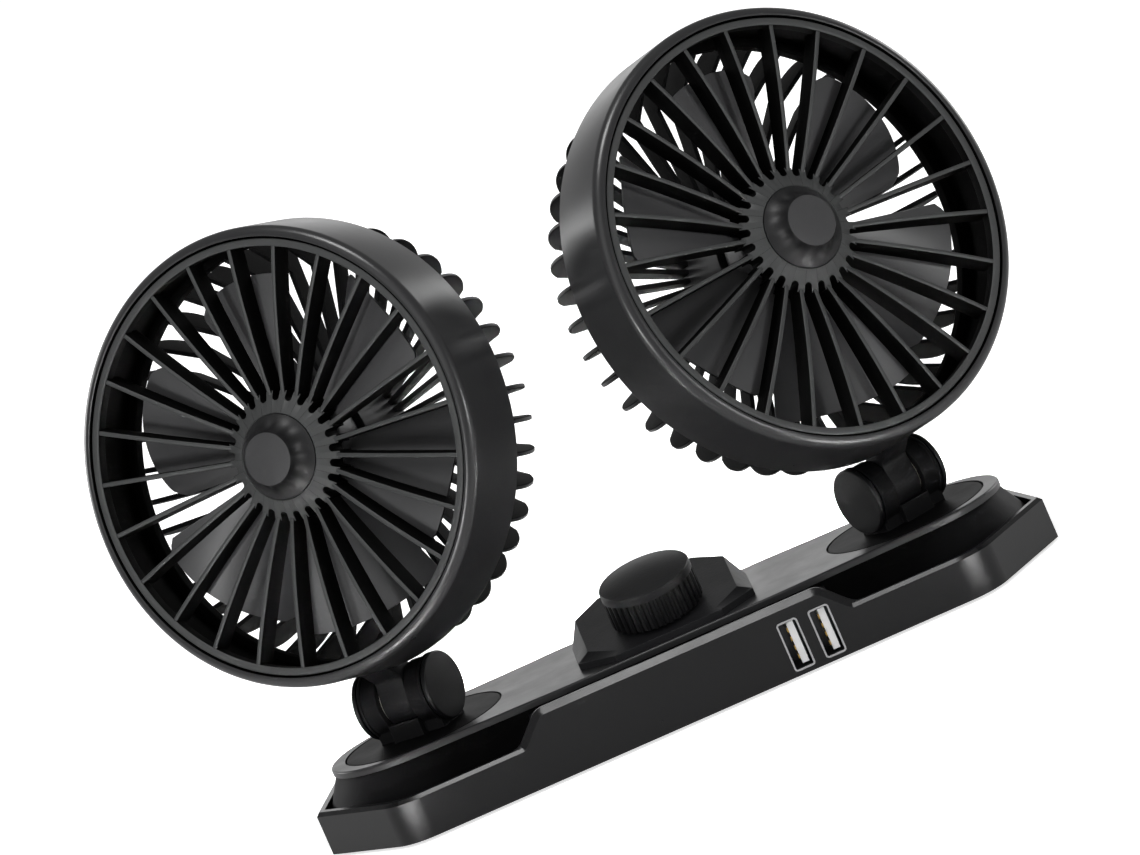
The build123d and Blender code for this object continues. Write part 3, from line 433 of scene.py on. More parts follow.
def moulded(name, colour, roughness, grain, relief, specular, mottle):
    """A moulded plastic: eroded mould grain as bump, flow marks and handling as sheen and tint.
    grain is the width of the grain in metres, relief its height, and mottle the wear's share."""
    flow_mark, handling_mark, handling_share = 18 * MM, 5 * MM, 0.35
    darkest, palest = 0.86, 1.16
    material, tree, shader, place = new_material(name)
    shader.inputs["IOR"].default_value = 1.5
    shader.inputs["Specular IOR Level"].default_value = specular
    fine = add_node(
        tree,
        "ShaderNodeTexNoise",
        {"Vector": place, "Scale": 1 / grain, "Detail": 2.0, "Roughness": 0.6},
    ).outputs["Fac"]
    flow = add_node(
        tree,
        "ShaderNodeTexNoise",
        {"Vector": place, "Scale": 1 / flow_mark, "Detail": 3.0, "Distortion": 0.6},
    ).outputs["Fac"]
    handled = add_node(
        tree, "ShaderNodeTexNoise", {"Vector": place, "Scale": 1 / handling_mark, "Detail": 4.0}
    ).outputs["Fac"]
    both = add_node(
        tree,
        "ShaderNodeMix",
        {"Factor": handling_share, "A": flow, "B": handled},
        data_type="FLOAT",
    ).outputs["Result"]
    smoothest, dullest = roughness - mottle, roughness + mottle
    sheen = add_node(
        tree,
        "ShaderNodeMapRange",
        {"Value": both, "From Min": 0.3, "From Max": 0.7, "To Min": smoothest, "To Max": dullest},
    ).outputs["Result"]
    ends = [(*[share * c for c in colour], 1) for share in (darkest, palest)]
    tint = add_node(
        tree, "ShaderNodeMix", {"Factor": both, "A": ends[0], "B": ends[1]}, data_type="RGBA"
    ).outputs["Result"]
    bump = add_node(
        tree, "ShaderNodeBump", {"Height": fine, "Strength": 1.0, "Distance": relief}
    ).outputs["Normal"]
    tree.links.new(tint, shader.inputs["Base Color"])
    tree.links.new(sheen, shader.inputs["Roughness"])
    tree.links.new(bump, shader.inputs["Normal"])
    return material


def painted_hollow_shade(material, near, far):
    """Paints shade into a finish: it grows dull and dark towards the object's middle, from far to near along X."""
    # painted shade: darkest is the colour in the deepest painted shade, least the share of own colour left there,
    # sheen the specular level where the painted shade ends
    least, darkest, sheen = 0.12, (0.0012, 0.0012, 0.0012, 1), 0.06
    tree = material.node_tree
    shader = next(node for node in tree.nodes if node.type == "BSDF_PRINCIPLED")
    place = next(node for node in tree.nodes if node.type == "TEX_COORD").outputs["Object"]
    across = add_node(tree, "ShaderNodeSeparateXYZ", {0: place}).outputs["X"]
    away = add_node(tree, "ShaderNodeMath", {0: across}, operation="ABSOLUTE").outputs[0]
    share = add_node(
        tree,
        "ShaderNodeMapRange",
        {"Value": away, "From Min": near, "From Max": far, "To Min": least, "To Max": 1.0},
        interpolation_type="SMOOTHSTEP",
    ).outputs["Result"]
    tint = shader.inputs["Base Color"].links[0].from_socket
    darker = add_node(
        tree, "ShaderNodeMix", {"Factor": share, "A": darkest, "B": tint}, data_type="RGBA"
    ).outputs["Result"]
    tree.links.new(darker, shader.inputs["Base Color"])
    level = add_node(tree, "ShaderNodeMath", {0: share, 1: sheen}, operation="MULTIPLY").outputs[0]
    tree.links.new(level, shader.inputs["Specular IOR Level"])
    return material


def metal(name, colour, roughness, streak):
    """A plated or ground metal with fine drawn streaks along Z, streak metres wide."""
    sheen_change, stretch_share, relief, darkest = 0.08, 0.12, 20 * MICRON, 0.85
    material, tree, shader, place = new_material(name)
    shader.inputs["Metallic"].default_value = 1.0
    stretch = (1 / streak, 1 / streak, stretch_share / streak)
    drawn = add_node(tree, "ShaderNodeMapping", {"Vector": place, "Scale": stretch}).outputs[0]
    lines = add_node(
        tree, "ShaderNodeTexNoise", {"Vector": drawn, "Scale": 1.0, "Detail": 3.0}
    ).outputs["Fac"]
    smoothest, dullest = roughness - sheen_change, roughness + sheen_change
    sheen = add_node(
        tree, "ShaderNodeMapRange", {"Value": lines, "To Min": smoothest, "To Max": dullest}
    ).outputs["Result"]
    dark = (*[darkest * c for c in colour], 1)
    tint = add_node(
        tree, "ShaderNodeMix", {"Factor": lines, "A": dark, "B": (*colour, 1)}, data_type="RGBA"
    ).outputs["Result"]
    bump = add_node(
        tree, "ShaderNodeBump", {"Height": lines, "Strength": 0.5, "Distance": relief}
    ).outputs["Normal"]
    tree.links.new(tint, shader.inputs["Base Color"])
    tree.links.new(sheen, shader.inputs["Roughness"])
    tree.links.new(bump, shader.inputs["Normal"])
    return material


def plastics(colours):
    """Rows of slot, name, colour, roughness, relief in microns, specular level and mottle."""
    shell, spine = list(colours.shell), list(colours.spine)
    blade, knob = list(colours.blade), list(colours.knob)
    return (
        # fine eroded texture: satin, with a soft highlight along the bends
        ("base_plastic", "moulded ABS satin", shell, 0.3, 10, 0.27, 0.03),
        # painted shade: the tray is painted dark and dull for the shade of the spine and the heads, and lighter at
        # its raised ends
        ("base_tray_painted_shade", "moulded ABS tray", shell, 0.55, 20, 0.3, 0.05),
        # the same resin from a smoother mould: it mirrors the sky at a low angle
        ("spine_plastic", "moulded ABS smooth", spine, 0.34, 10, 0.28, 0.05),
        # a duller resin that runs on itself, also painted darker than the spine round it as painted shade from the
        # hinges
        ("hinge_plastic", "moulded polyamide", linear("#0a0a0b"), 0.5, 20, 0.05, 0.05),
        # the barrels' caps are smoother, with a faint gloss at their edges
        ("cap_plastic", "moulded polyamide cap", linear("#0b0b0c"), 0.34, 10, 0.18, 0.05),
        # the drums are a shade greyer than the base, with a soft band of light round their sides
        ("shroud_plastic", "moulded ABS drum", linear("#222223"), 0.3, 10, 0.42, 0.03),
        # painted shade: the neck, moulded in one with the drum, is painted darker than the drum, as dark as the
        # barrel, with one soft streak
        ("neck_painted_shade", "moulded ABS neck", linear("#101011"), 0.42, 20, 0.08, 0.05),
        # painted shade and painted highlight: the fins behind are painted black, and their edges get a lighter
        # copy where they catch the light
        ("rear_plastic", "moulded ABS rear grille", linear("#060606"), 0.6, 20, 0.02, 0.05),
        ("rear_edge_painted_highlight", "moulded ABS rear edge", linear("#1b1b1c"), 0.45, 20, 0.3, 0.05),
        # painted shade: the inside of the drum is painted near black, for the shade where it takes no light at all
        ("shroud_inside_painted_shade", "moulded ABS drum inside", linear("#030303"), 0.6, 30, 0.02, 0.05),
        # painted highlight and painted shade: the fronts of rim and ribs are painted lighter where they catch the
        # light, and their deep sides are painted black for the shade
        ("grille_plastic", "moulded ABS grille front", linear("#343535"), 0.46, 20, 0.3, 0.05),
        ("grille_side_painted_shade", "moulded ABS grille side", linear("#050505"), 0.6, 20, 0.03, 0.05),
        # the waisted cone is darker than the flat disc on its tip
        ("hub_cap_plastic", "moulded ABS hub cap", linear("#131314"), 0.46, 10, 0.28, 0.05),
        ("hub_disc", "moulded ABS hub disc", linear("#303031"), 0.5, 10, 0.3, 0.05),
        # polypropylene is a little waxy: a broad soft gloss over the curve of each blade
        ("blade_plastic", "moulded polypropylene", blade, 0.38, 10, 0.4, 0.05),
        # a coarser texture that takes the shine off the pedestal
        ("control_plastic", "moulded ABS matt", linear("#101012"), 0.45, 40, 0.22, 0.05),
        # a little softer still, so that only the dome's far edge shines
        ("knob_plastic", "moulded ABS soft matt", knob, 0.45, 30, 0.2, 0.05),
        # rubber: chalky, with hardly a highlight
        ("pad_rubber", "silicone rubber", linear("#141414"), 0.75, 60, 0.3, 0.05),
        ("gland_rubber", "nitrile rubber", linear("#171717"), 0.7, 50, 0.3, 0.05),
        # undyed nylon: a milky line beside the knuckle
        ("washer_nylon", "natural nylon", linear("#d8d4c8"), 0.45, 10, 0.5, 0.05),
        # brown black, a little shiny, inside the pedestal
        ("switch_plastic", "phenolic", linear("#1d1a18"), 0.5, 20, 0.5, 0.05),
        # the thin light outline of each port, and the white tongue inside it
        ("port_frame", "pale moulded ABS", linear("#8f8f90"), 0.4, 5, 0.5, 0.05),
        ("port_tongue", "white polyamide", linear("#f2f2f2"), 0.4, 5, 0.5, 0.05),
        # the green of a coated board
        ("board_laminate", "solder mask on laminate", linear("#14552a"), 0.3, 10, 0.5, 0.05),
    )


# Rows of slot, name, colour, roughness and width of the streaks in microns
METALS = (
    # bright grey with a blue cast, on screws and nuts
    ("fastener_steel", "zinc plated steel", "#b9bbbd", 0.35, 400),
    # the brightest: sharp streaks along the shafts
    ("shaft_steel", "ground steel", "#c4c4c6", 0.25, 200),
    # a softer sheen with wide drawing marks
    ("motor_steel", "drawn steel can", "#a9aaac", 0.38, 600),
    # painted shade: the sheet is painted dim for the shade inside the port's mouth, with one pale edge
    ("port_steel", "nickel plated sheet", "#4a4b4d", 0.34, 300),
    # small warm glints on the tongues
    ("contact_gold", "gold plated bronze", "#c9a45a", 0.3, 200),
)


def make_materials(scene):
    """Makes every finish of the object and marks it with its material slot."""
    grain = scene.car_fan_sizes.moulding_grain
    tray_near, tray_far = 60 * MM, 97 * MM
    made = {}
    for slot, name, colour, roughness, relief, specular, mottle in plastics(scene.car_fan_colours):
        made[slot] = moulded(name, colour, roughness, grain, relief * MICRON, specular, mottle)
    # painted shade on the tray, from its raised ends at tray_far inward to tray_near
    painted_hollow_shade(made["base_tray_painted_shade"], tray_near, tray_far)
    for slot, name, colour, roughness, streak in METALS:
        made[slot] = metal(name, linear(colour), roughness, streak * MICRON)
    for slot, material in made.items():
        material["slot"] = slot


def material_of(slot):
    """The finish that was made for a slot."""
    return next(m for m in bpy.data.materials if m.get("slot") == slot)


# Operators


class CARFAN_OT_finishes(bpy.types.Operator):
    """Makes the materials and gives every CAD node its finish"""

    bl_idname = "carfan.finishes"
    bl_label = "Finishes"

    def execute(self, context):
        make_materials(context.scene)
        for entry in frame["record"]["subparts"]:
            mesh = frame["nodes"][entry["node"]].data
            mesh.materials.clear()
            mesh.materials.append(material_of(entry["material_slot"]))
        return {"FINISHED"}


class CARFAN_OT_base(bpy.types.Operator):
    """Softens the edges of the base, the spine cover and the pedestal"""

    bl_idname = "carfan.base"
    bl_label = "Base"

    def execute(self, context):
        rounding = context.scene.car_fan_sizes.edge_rounding
        for node, slot, share in (
            ("base_shell", "base_plastic", 1.0),
            ("spine_cover", "spine_plastic", 0.6),
            ("control_housing", "control_plastic", 1.0),
            ("bottom_cover", "base_plastic", 0.6),
            ("grip_pad", "pad_rubber", 0.8),
            ("cable_gland", "gland_rubber", 0.8),
        ):
            material = material_of(slot)
            piece = softened(f"{node}_skin", node, "base", material, rounding * share)
            if node == "base_shell":
                self.paint_tray_shade(piece.data)
        return {"FINISHED"}

    def paint_tray_shade(self, mesh):
        """Paints shade on the faces that look into the tray: they get the tray's darker, duller material."""
        floor_below, walls_above, middle_y = 11.2, 4.6, -5
        spine_front, spine_back = -35.5, 25
        mesh.materials.append(material_of("base_tray_painted_shade"))
        for face in mesh.polygons:
            x, y, z = face.center / MM
            across, along, up = face.normal
            inward = across * x + along * (y - middle_y) < 0
            beside_spine = z > walls_above and spine_front < y < spine_back
            flat_floor = up > 0.5 and z < floor_below
            spine_side = not inward and 0.2 < up < 0.97 and beside_spine
            wall_inside = inward and abs(up) < 0.5 and z > walls_above
            if flat_floor or spine_side or wall_inside:
                face.material_index = 1


class CARFAN_OT_knob(bpy.types.Operator):
    """Turns the knob and sets its grip ribs round it"""

    bl_idname = "carfan.knob"
    bl_label = "Knob"

    def execute(self, context):
        material = material_of("knob_plastic")
        count = context.scene.car_fan_sizes.knob_rib_count
        radius, core, rise, top, rim, dome = 12.2, 11.45, 0.5, 10.7, 8.5, 1.5
        bore, roof, boss, shaft, boss_foot, shaft_top = 10.4, 8.9, 4.4, 2.4, 2.2, 9.0
        edge, steps = 0.3, 16
        shares = [k / steps for k in range(steps)]
        outline = [(radius * share, top + dome * (1 - share**2)) for share in shares]
        outline += [(radius - 0.25, top + 0.12), (radius - 0.04, top - 0.2), (radius, top - 0.6)]
        outline += [(radius, rim), (core, rim), (core, rise + edge), (core - edge, rise)]
        outline += [(bore, rise), (bore, roof), (boss, roof), (boss, boss_foot)]
        outline += [(shaft, boss_foot), (shaft, shaft_top), (0.0, shaft_top)]
        body = lathe("knob", outline, 144)
        body.materials.append(material)
        half = 2 * pi * radius / count / 4
        bar = [(core - 0.4, -half), (core + 0.35, -half)]
        bar += [(radius - 0.2, -half * 0.8), (radius, -half * 0.4)]
        bar += [(x, -y) for x, y in reversed(bar)]
        levels = ((rise + 0.1, edge), (rise + 0.4, 0), (rim + 0.05, 0))
        rib = skin("grip", [[(x - inset, y, z) for x, y in bar] for z, inset in levels])
        ribs = repeated(shade(rib, 50), count, material)
        knob = joined("knob", shade(body, 35), ribs)
        knob.transform(CONTROL)
        put("knob", knob, "knob", ["speed_knob"], material)
        return {"FINISHED"}


class CARFAN_OT_barrels(bpy.types.Operator):
    """Softens the turntables, their ears and the end caps of the tilt barrels"""

    bl_idname = "carfan.barrels"
    bl_label = "Turntables and Barrels"

    def execute(self, context):
        rounding = context.scene.car_fan_sizes.edge_rounding * 0.7
        finishes = {
            "turntable": "hinge_plastic",
            "inner_cap": "cap_plastic",
            "outer_cap": "cap_plastic",
        }
        for side in SIDES:
            for node, finish in finishes.items():
                softened(
                    f"{node}_skin_{side}",
                    f"{node}_{side}",
                    f"swivel_{side}",
                    material_of(finish),
                    rounding,
                )
        return {"FINISHED"}


class CARFAN_OT_shrouds(bpy.types.Operator):
    """Turns the drums and adds the neck and knuckle below each"""

    bl_idname = "carfan.shrouds"
    bl_label = "Shrouds"

    def execute(self, context):
        slots = ("shroud_plastic", "shroud_inside_painted_shade", "neck_painted_shade")
        side_finish, inside_shade, neck_shade = range(len(slots))
        shroud = joined("shroud", self.drum(inside_shade), self.knuckle(neck_shade))
        for slot in slots:
            shroud.materials.append(material_of(slot))
        put_pair("shroud", shroud, HEAD, "head", ["head_shroud"])
        return {"FINISHED"}

    def drum(self, inside_shade):
        """The round wall with its front bend and the rebate that the front grille sits in."""
        outer, inner, back = 58.5, 56.0, -21.0
        rebate, seat, step, step_back = 55.8, -3.4, 54.4, -5.0
        bend = arc_through((outer, -2.1), (57.77, -0.33), (inner, 0.4), 8)
        outline = [(inner, back + 0.2), (56.2, back), (58.1, back), (outer, back + 0.4)] + bend
        outline += [(55.85, 0.32), (rebate, 0.15), (rebate, seat), (step, seat)]
        outline += [(step, step_back), (inner, step_back)]
        drum = lathe("drum", outline, 192)
        # painted shade: faces inside the drum get the near black inside material
        for face in drum.polygons:
            r = sqrt(face.center.x**2 + face.center.y**2)
            if r < inner + 0.05 and face.center.z < -0.4:
                face.material_index = inside_shade
        return shade(drum, 40)

    def knuckle(self, neck_shade):
        """The eye round the tilt axis and the neck that joins it to the drum."""
        axis_y, axis_z, radius, half_width, top = -66.0, -28.3, 7.2, 4.15, 14.0
        turns = [radians(a) for a in range(98, 361, 6)]
        around = [(radius * cos(a), radius * sin(a)) for a in turns]
        outline = [(top, 8.95), (7.6, 8.95), (3.0, 8.4)] + around
        outline += [(radius, 2.0), (radius, 4.0), (7.5, 4.75)]
        outline += [(8.2, 5.2), (10.5, 6.45), (12.9, 7.8), (top, 8.45)]
        widths = (-half_width, half_width)
        loops = [[(x, b + axis_y, a + axis_z) for a, b in outline] for x in widths]
        bevel = {
            "width": 0.45,
            "segments": 3,
            "limit_method": "ANGLE",
            "angle_limit": radians(60),
        }
        knuckle = baked(skin("knuckle", loops), ("BEVEL", bevel, None))
        # painted shade: the whole neck gets the darker neck material
        for face in knuckle.polygons:
            face.material_index = neck_shade
        return shade(knuckle, 40)


class CARFAN_OT_front_grilles(bpy.types.Operator):
    """Builds the rim, the slotted hub ring and the deep bowed ribs of each front grille"""

    bl_idname = "carfan.front_grilles"
    bl_label = "Front Grilles"

    def execute(self, context):
        sizes = context.scene.car_fan_sizes
        material = material_of("grille_plastic")
        rim_inner, rim_outer, rim_back = 53.3, 55.3, -3.4
        corners = [(rim_inner, 0.0), (rim_inner, rim_back), (rim_outer, rim_back), (rim_outer, 0.0)]
        rim = lathe("rim", rounded(corners, 0.45, 4), 192)
        rib_outer, rib_middle, rib_inner = 53.9, 30.0, 14.6
        crest = arc_through((rib_outer, -0.35), (rib_middle, -1.5), (rib_inner, -4.0), 20)
        foot = arc_through((rib_outer, -6.5), (rib_middle, -7.7), (rib_inner, -9.4), 20)
        rib = ribbon("rib", crest, foot, sizes.rib_thickness / MM, 0.4)
        ribs = repeated(shade(rib, 45), sizes.rib_count, material)
        grille = joined("grille", shade(rim, 40), self.hub_ring(sizes.rib_count), ribs)
        grille.materials.append(material)
        grille.materials.append(material_of("grille_side_painted_shade"))
        # painted highlight and painted shade: faces facing forward get the lighter front material, all others the
        # black side material
        painted_light_facing = 0.3
        for face in grille.polygons:
            face.material_index = 0 if face.normal.z > painted_light_facing else 1
        put_pair("front_grille", grille, HEAD, "head", ["front_grille"])
        return {"FINISHED"}

    def hub_ring(self, count):
        """The ring round the hub, with a round ended slot between each pair of ribs."""
        slot_radius, slot_half, slot_mouth, outer = 15.3, 1.1, 16.9, 16.6
        bore, seat_radius, seat_z, ledge_z, back_z = 9.0, 10.9, -3.5, -1.75, -9.4
        lip_z, dish_drop, dish_reach = -1.5, 2.5, 5.3
        bends = [radians(a) for a in (-68, -45, -22, 0, 22, 45, 68)]
        slot = [(slot_mouth, -slot_half), (slot_radius, -slot_half)]
        slot += [(slot_radius - slot_half * cos(a), slot_half * sin(a)) for a in bends]
        slot += [(slot_radius, slot_half), (slot_mouth, slot_half)]
        outline = []
        for i in range(count):
            turn = Matrix.Rotation(2 * pi * (i + 0.5) / count, 2)
            outline += [turn @ Vector(p) for p in slot]

        def front(r):
            """Height of the ring's dished front at a radius."""
            return lip_z - (r - seat_radius) * dish_drop / dish_reach

        def slotted(inset, height):
            radii = [min(p.length - inset, outer) for p in outline]
            return [
                (p.x * r / p.length, p.y * r / p.length, height(r)) for p, r in zip(outline, radii)
            ]

        def ring(radius, height):
            return [(p.x * radius / p.length, p.y * radius / p.length, height) for p in outline]

        loops = [ring(bore, back_z), ring(bore, seat_z), ring(seat_radius, seat_z)]
        loops += [ring(seat_radius, ledge_z), ring(11.15, -1.55)]
        loops += [slotted(0.3, front), slotted(0.08, lambda r: front(r) - 0.12)]
        loops += [slotted(0.0, lambda r: front(r) - 0.4)]
        loops += [slotted(0.0, lambda r: back_z + 0.3), slotted(0.3, lambda r: back_z)]
        return shade(skin("hub ring", loops, closed=True), 40)


class CARFAN_OT_hub_caps(bpy.types.Operator):
    """Turns the waisted cones with soft flutes in the middle of each grille"""

    bl_idname = "carfan.hub_caps"
    bl_label = "Hub Caps"

    def execute(self, context):
        foot, foot_z, tip, tip_z, edge = 10.8, -3.5, 6.8, 3.8, 0.25
        steps, segments, flutes, flute_depth = 14, 144, 9, 0.4
        waist = arc_through((foot, -1.5), (8.3, 0.6), (tip, tip_z), steps)
        profile = [(0.0, foot_z, 0), (foot, foot_z, 0)]
        profile += [(r, z, k / steps) for k, (r, z) in enumerate(waist[:-1])]
        profile += [(tip, tip_z - edge, 1.0), (tip - 0.1, tip_z - 0.06, 1.0)]
        profile += [(tip - 0.35, tip_z, 1.0), (0.0, tip_z, 1.0)]
        loops = []
        for i in range(segments):
            turn = 2 * pi * i / segments
            flute = flute_depth * (0.5 + 0.5 * cos(flutes * turn)) ** 2
            sunk = [(r - flute * sin(pi * share), z) for r, z, share in profile]
            loops.append([(r * cos(turn), r * sin(turn), z) for r, z in sunk])
        cap = shade(skin("hub cap", loops, closed=True), 35)
        cap.materials.append(material_of("hub_cap_plastic"))
        cap.materials.append(material_of("hub_disc"))
        for face in cap.polygons:
            face.material_index = 1 if face.center.z > tip_z - 0.1 else 0
        put_pair("hub_cap", cap, HEAD, "head", ["hub_cap"])
        return {"FINISHED"}


class CARFAN_OT_impellers(bpy.types.Operator):
    """Builds the hub and the broad cambered blades of each impeller"""

    bl_idname = "carfan.impellers"
    bl_label = "Impellers"

    def execute(self, context):
        material = material_of("blade_plastic")
        count, first = context.scene.car_fan_sizes.blade_count, radians(38.0)
        front, back, roof, radius, wall_radius = -10.4, -20.0, -12.0, 13.2, 11.6
        boss, bore = 3.2, 1.0
        outline = [(0.0, front, 0), (radius, front, 1.8), (radius, back, 0.3)]
        outline += [(wall_radius, back), (wall_radius, roof), (boss, roof)]
        outline += [(boss, back, 0.2), (bore, back, 0), (bore, roof, 0), (0.0, roof, 0)]
        hub = lathe("impeller hub", rounded(outline, 0.2, 5), 96)
        blades = repeated(shade(self.blade(), 50), count, material, first)
        impeller = joined("impeller", shade(hub, 35), blades)
        put_pair("impeller", impeller, HEAD, "fan", ["impeller"], material)
        return {"FINISHED"}

    def blade(self):
        """One blade: arcs of growing chord and falling pitch, cut off at the tip circle.
        s runs across the chord from -1 to 1, and x outward from the root."""
        root, tip, middle_z = 11.7, 46.0, -15.4
        root_chord, chord_growth, root_pitch, pitch_fall = 15.0, 27.5, 44.0, 25.0
        camber_share, half_thickness, tip_thinning, edge_thinning = 0.12, 0.65, 0.4, 0.55
        corner_start, corner_cut, tip_gap = 0.82, 2.5, 0.05
        spans, lengths = 26, 14

        def point(x, s, lift):
            share = (x - root) / (tip - root)
            chord = root_chord + chord_growth * share
            pitch = radians(root_pitch - pitch_fall * share)
            along, up = chord / 2 * s, camber_share * chord * (1 - s * s) + lift
            across = along * cos(pitch) + up * sin(pitch)
            return Vector((x, across, middle_z - along * sin(pitch) + up * cos(pitch)))

        def reach(s):
            """Where the line at s meets the tip circle, whose corners are cut round."""
            corner = max(0.0, abs(s) - corner_start) / (1 - corner_start)
            limit = tip - tip_gap - corner_cut * corner**1.5
            low, high = root, tip
            for _ in range(24):
                x = (low + high) / 2
                p = point(x, s, 0)
                low, high = (x, high) if p.x**2 + p.y**2 < limit**2 else (low, x)
            return low

        shares = [-1 + 2 * i / spans for i in range(spans + 1)]
        ends = [reach(s) for s in shares]
        loops = []
        for k in range(lengths + 1):
            t = k / lengths
            thin_tip = 1 - tip_thinning * t**8
            front, back = [], []
            for s, end in zip(shares, ends):
                x = root + (end - root) * t
                half = half_thickness * (1 - edge_thinning * abs(s) ** 6) * thin_tip
                front.append(point(x, s, half))
                back.append(point(x, s, -half))
            loops.append(front + back[::-1])
        return skin("blade", loops)


class CARFAN_OT_rear_grilles(bpy.types.Operator):
    """Builds the motor cup, the inner ring and the lobed fins of each rear grille"""

    bl_idname = "carfan.rear_grilles"
    bl_label = "Rear Grilles"

    def execute(self, context):
        sizes = context.scene.car_fan_sizes
        material = material_of("rear_plastic")
        ring_inner, ring_outer, ring_back, ring_front = 53.7, 55.9, -21.0, -17.6
        corners = [(ring_inner, ring_back), (ring_inner, ring_front)]
        corners += [(ring_outer, ring_front), (ring_outer, ring_back)]
        ring = lathe("rear ring", rounded(corners, 0.3, 3), 192)
        cup_outer, cup_inner, cup_back, cup_floor, cup_front = 14.55, 12.15, -42.0, -40.0, -21.4
        corners = [(0.0, cup_back, 0), (cup_outer, cup_back, 1.0), (cup_outer, cup_front, 0.3)]
        corners += [(cup_inner, cup_front), (cup_inner, cup_floor, 0), (0.0, cup_floor, 0)]
        cup = lathe("motor cup", rounded(corners, 0.3, 5), 96)
        root, shoulder = 13.75, (50.5, -40.45)
        dome = arc_through((root, -41.95), (32.0, -41.55), shoulder, 12)
        lobe = arc_through(shoulder, (55.7, -33.0), (ring_outer, -21.15), 12)
        outer = dome + lobe[1:]
        knee, knee_z, foot_z, lobe_out, lobe_up = 45.7, -35.7, -37.2, 8.8, 15.5
        inner = []
        for i in range(len(outer)):
            t = 2 * i / (len(outer) - 1)
            if t < 1:
                inner.append((root + (knee - root) * t, foot_z + (knee_z - foot_z) * t))
            else:
                inner.append((knee + lobe_out * (t - 1), knee_z + lobe_up * (t - 1)))
        fin = ribbon("fin", outer, inner, sizes.fin_thickness / MM, 0.5)
        fins = repeated(shade(fin, 50), sizes.fin_count, material)
        grille = joined("rear grille", shade(ring, 40), shade(cup, 40), fins)
        grille.materials.append(material)
        grille.materials.append(material_of("rear_edge_painted_highlight"))
        # painted highlight: faces behind the ring that do not face round the axis, the fins' edges among them, get
        # the lighter edge material
        for face in grille.polygons:
            x, y, z = face.center
            radius = max(sqrt(x * x + y * y), 1.0)
            sideways = abs(face.normal.y * x - face.normal.x * y) / radius
            face.material_index = 1 if z < ring_back + 0.5 and sideways < 0.5 else 0
        put_pair("rear_grille", grille, HEAD, "head", ["rear_grille"])
        return {"FINISHED"}


# Rows of name, place, aim and size in metres, watts, and spread in degrees
LAMPS = (
    # the thin light line along the raised wall's edge
    ("softbox above", (-0.05, -0.25, 1.2), (0, 0, 0), (0.36, 0.3), 7.0, 180),
    # the even light on the fronts of grilles and blades
    ("wall in front", (-0.7, -1.6, 1.3), (0, 0, 0.07), (1.8, 1.2), 6.0, 180),
    # the light bands on the base's front bends
    ("strip front left", (-1.04, -1.14, 0.13), (0, 0, 0.03), (0.16, 0.24), 8.0, 180),
    ("strip front right", (1.04, -1.14, 0.13), (0, 0, 0.03), (0.16, 0.24), 6.0, 180),
    # the soft bands round the drums
    ("strip back left", (-1.03, 0.8, 0.33), (0, 0, 0.07), (0.4, 0.45), 4.0, 180),
    ("strip back right", (1.03, 0.8, 0.33), (0, 0, 0.07), (0.4, 0.45), 4.0, 180),
    # what the top of the spine mirrors
    ("sheet behind", (0.0, 1.8, 0.45), (0, 0, 0.07), (2.4, 0.5), 4.8, 180),
    # bright patches of floor that the drums and the bends mirror
    ("pool behind", (0.0, 0.15, 0.5), (0, 0.13, 0), (0.12, 0.04), 0.3, 16),
    ("pool left", (-0.15, -0.125, 0.1), (-0.118, -0.095, 0), (0.02, 0.02), 0.5, 30),
    ("pool right", (0.15, -0.125, 0.1), (0.118, -0.095, 0), (0.02, 0.02), 0.3, 30),
)


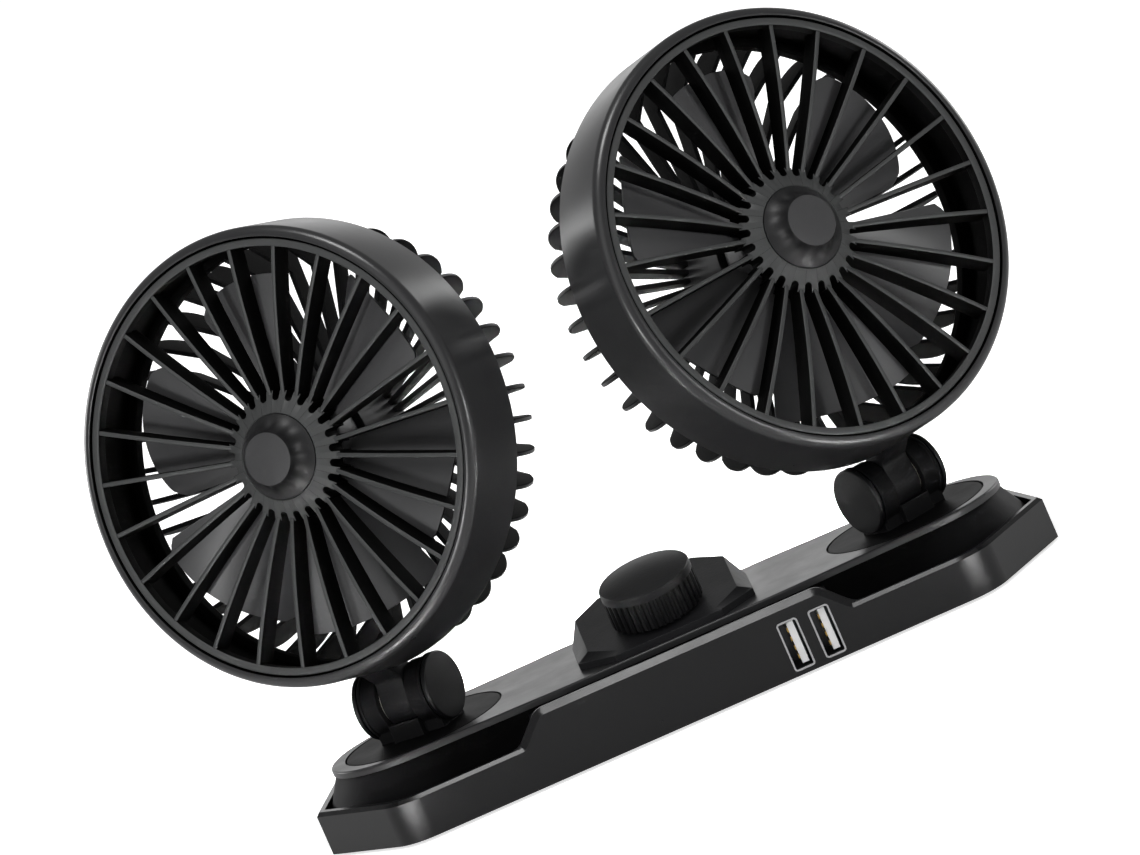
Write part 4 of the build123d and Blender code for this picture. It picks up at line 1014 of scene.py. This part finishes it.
class CARFAN_OT_stage(bpy.types.Operator):
    """Lays the pale floor and sets the lamps and the camera"""

    bl_idname = "carfan.stage"
    bl_label = "Stage"

    def execute(self, context):
        scene = context.scene
        self.floor(scene)
        self.world(scene)
        for name, place, aim, size, watts, spread in LAMPS:
            lamp = bpy.data.lights.new(name, "AREA")
            lamp.shape, lamp.energy, lamp.spread = "RECTANGLE", watts, radians(spread)
            lamp.size, lamp.size_y = size
            holder = bpy.data.objects.new(name, lamp)
            holder.location = place
            toward = Vector(aim) - Vector(place)
            holder.rotation_euler = toward.to_track_quat("-Z", "Y").to_euler()
            holder.visible_camera = False
            scene.collection.objects.link(holder)
        self.camera(scene)
        scene.view_settings.view_transform = "Standard"
        return {"FINISHED"}

    def floor(self, scene):
        """A wide pale floor, lifted to white for the camera where no shadow lies."""
        half, near, far, low, glow_strength = 8, -8, 12, cad_box[0].z, 0.72
        corners = [(-half, near, low), (half, near, low), (half, far, low), (-half, far, low)]
        mesh = bpy.data.meshes.new("floor")
        mesh.from_pydata(corners, [], [(0, 1, 2, 3)])
        floor = bpy.data.objects.new("floor", mesh)
        scene.collection.objects.link(floor)
        material = bpy.data.materials.new("painted floor")
        material.use_nodes = True
        tree = material.node_tree
        tree.nodes.clear()
        colour = (*scene.car_fan_colours.backdrop, 1)
        paint = add_node(tree, "ShaderNodeBsdfDiffuse", {"Color": colour}).outputs[0]
        glow = add_node(
            tree, "ShaderNodeEmission", {"Color": colour, "Strength": glow_strength}
        ).outputs[0]
        lifted = add_node(tree, "ShaderNodeAddShader", {0: paint, 1: glow}).outputs[0]
        seen = add_node(tree, "ShaderNodeLightPath").outputs["Is Camera Ray"]
        mixed = add_node(tree, "ShaderNodeMixShader", {0: seen, 1: paint, 2: lifted}).outputs[0]
        add_node(tree, "ShaderNodeOutputMaterial", {"Surface": mixed})
        mesh.materials.append(material)

    def world(self, scene):
        """An even dim surround, white where the camera sees it."""
        white, ambient, seen_strength = (1, 1, 1, 1), 0.3, 1.0
        world = bpy.data.worlds.new("studio")
        scene.world = world
        world.use_nodes = True
        tree = world.node_tree
        tree.nodes.clear()
        dim, bright = (
            add_node(tree, "ShaderNodeBackground", {"Color": white, "Strength": light}).outputs[0]
            for light in (ambient, seen_strength)
        )
        seen = add_node(tree, "ShaderNodeLightPath").outputs["Is Camera Ray"]
        mixed = add_node(tree, "ShaderNodeMixShader", {0: seen, 1: dim, 2: bright}).outputs[0]
        add_node(tree, "ShaderNodeOutputWorld", {"Surface": mixed})

    def camera(self, scene):
        """The photograph's view: from the front, a little from above, and rolled."""
        roll, rise = radians(23.7), radians(9.5)
        picture_width, pixels_per_mm = 1140, 3.96
        middle, aside, above = Vector((0, 0.0018, 0.06)), -0.0078, 0.0130
        level = Vector((1, 0, 0))
        steep = Vector((0, sin(rise), cos(rise)))
        right = level * cos(roll) - steep * sin(roll)
        up = level * sin(roll) + steep * cos(roll)
        back = right.cross(up)
        target = middle + right * aside + up * above
        data = bpy.data.cameras.new("camera")
        data.sensor_width, data.lens = 36.0, 360.0
        distance = data.lens * (picture_width / pixels_per_mm * MM) / data.sensor_width
        data.clip_start, data.clip_end = 0.01, 40.0
        holder = bpy.data.objects.new("camera", data)
        turned = Matrix((right, up, back)).transposed().to_4x4()
        holder.matrix_world = Matrix.Translation(target + back * distance) @ turned
        scene.collection.objects.link(holder)
        scene.camera = holder


class CARFAN_PT_panel(bpy.types.Panel):
    """The steps of the car fan, in order"""

    bl_idname = "CARFAN_PT_panel"
    bl_label = "Car Fan"
    bl_space_type = "VIEW_3D"
    bl_region_type = "UI"
    bl_category = "Car Fan"

    def draw(self, context):
        column = self.layout.column()
        for step in STEPS:
            column.operator(step.bl_idname)
        for group in (context.scene.car_fan_sizes, context.scene.car_fan_colours):
            for name in group.bl_rna.properties.keys():
                if name not in ("rna_type", "name"):
                    column.prop(group, name)


STEPS = (
    CARFAN_OT_finishes,
    CARFAN_OT_base,
    CARFAN_OT_knob,
    CARFAN_OT_barrels,
    CARFAN_OT_shrouds,
    CARFAN_OT_front_grilles,
    CARFAN_OT_hub_caps,
    CARFAN_OT_impellers,
    CARFAN_OT_rear_grilles,
    CARFAN_OT_stage,
)
GROUPS = (CARFAN_PG_sizes, CARFAN_PG_colours)


def register():
    for group in GROUPS:
        bpy.utils.register_class(group)
    bpy.types.Scene.car_fan_sizes = bpy.props.PointerProperty(type=CARFAN_PG_sizes)
    bpy.types.Scene.car_fan_colours = bpy.props.PointerProperty(type=CARFAN_PG_colours)
    for step in (*STEPS, CARFAN_PT_panel):
        bpy.utils.register_class(step)


def unregister():
    for step in reversed((*STEPS, CARFAN_PT_panel)):
        bpy.utils.unregister_class(step)
    del bpy.types.Scene.car_fan_colours
    del bpy.types.Scene.car_fan_sizes
    for group in reversed(GROUPS):
        bpy.utils.unregister_class(group)


def main():
    register()
    for step in STEPS:
        family, name = step.bl_idname.split(".")
        getattr(getattr(bpy.ops, family), name)()


if __name__ == "__main__":
    main()
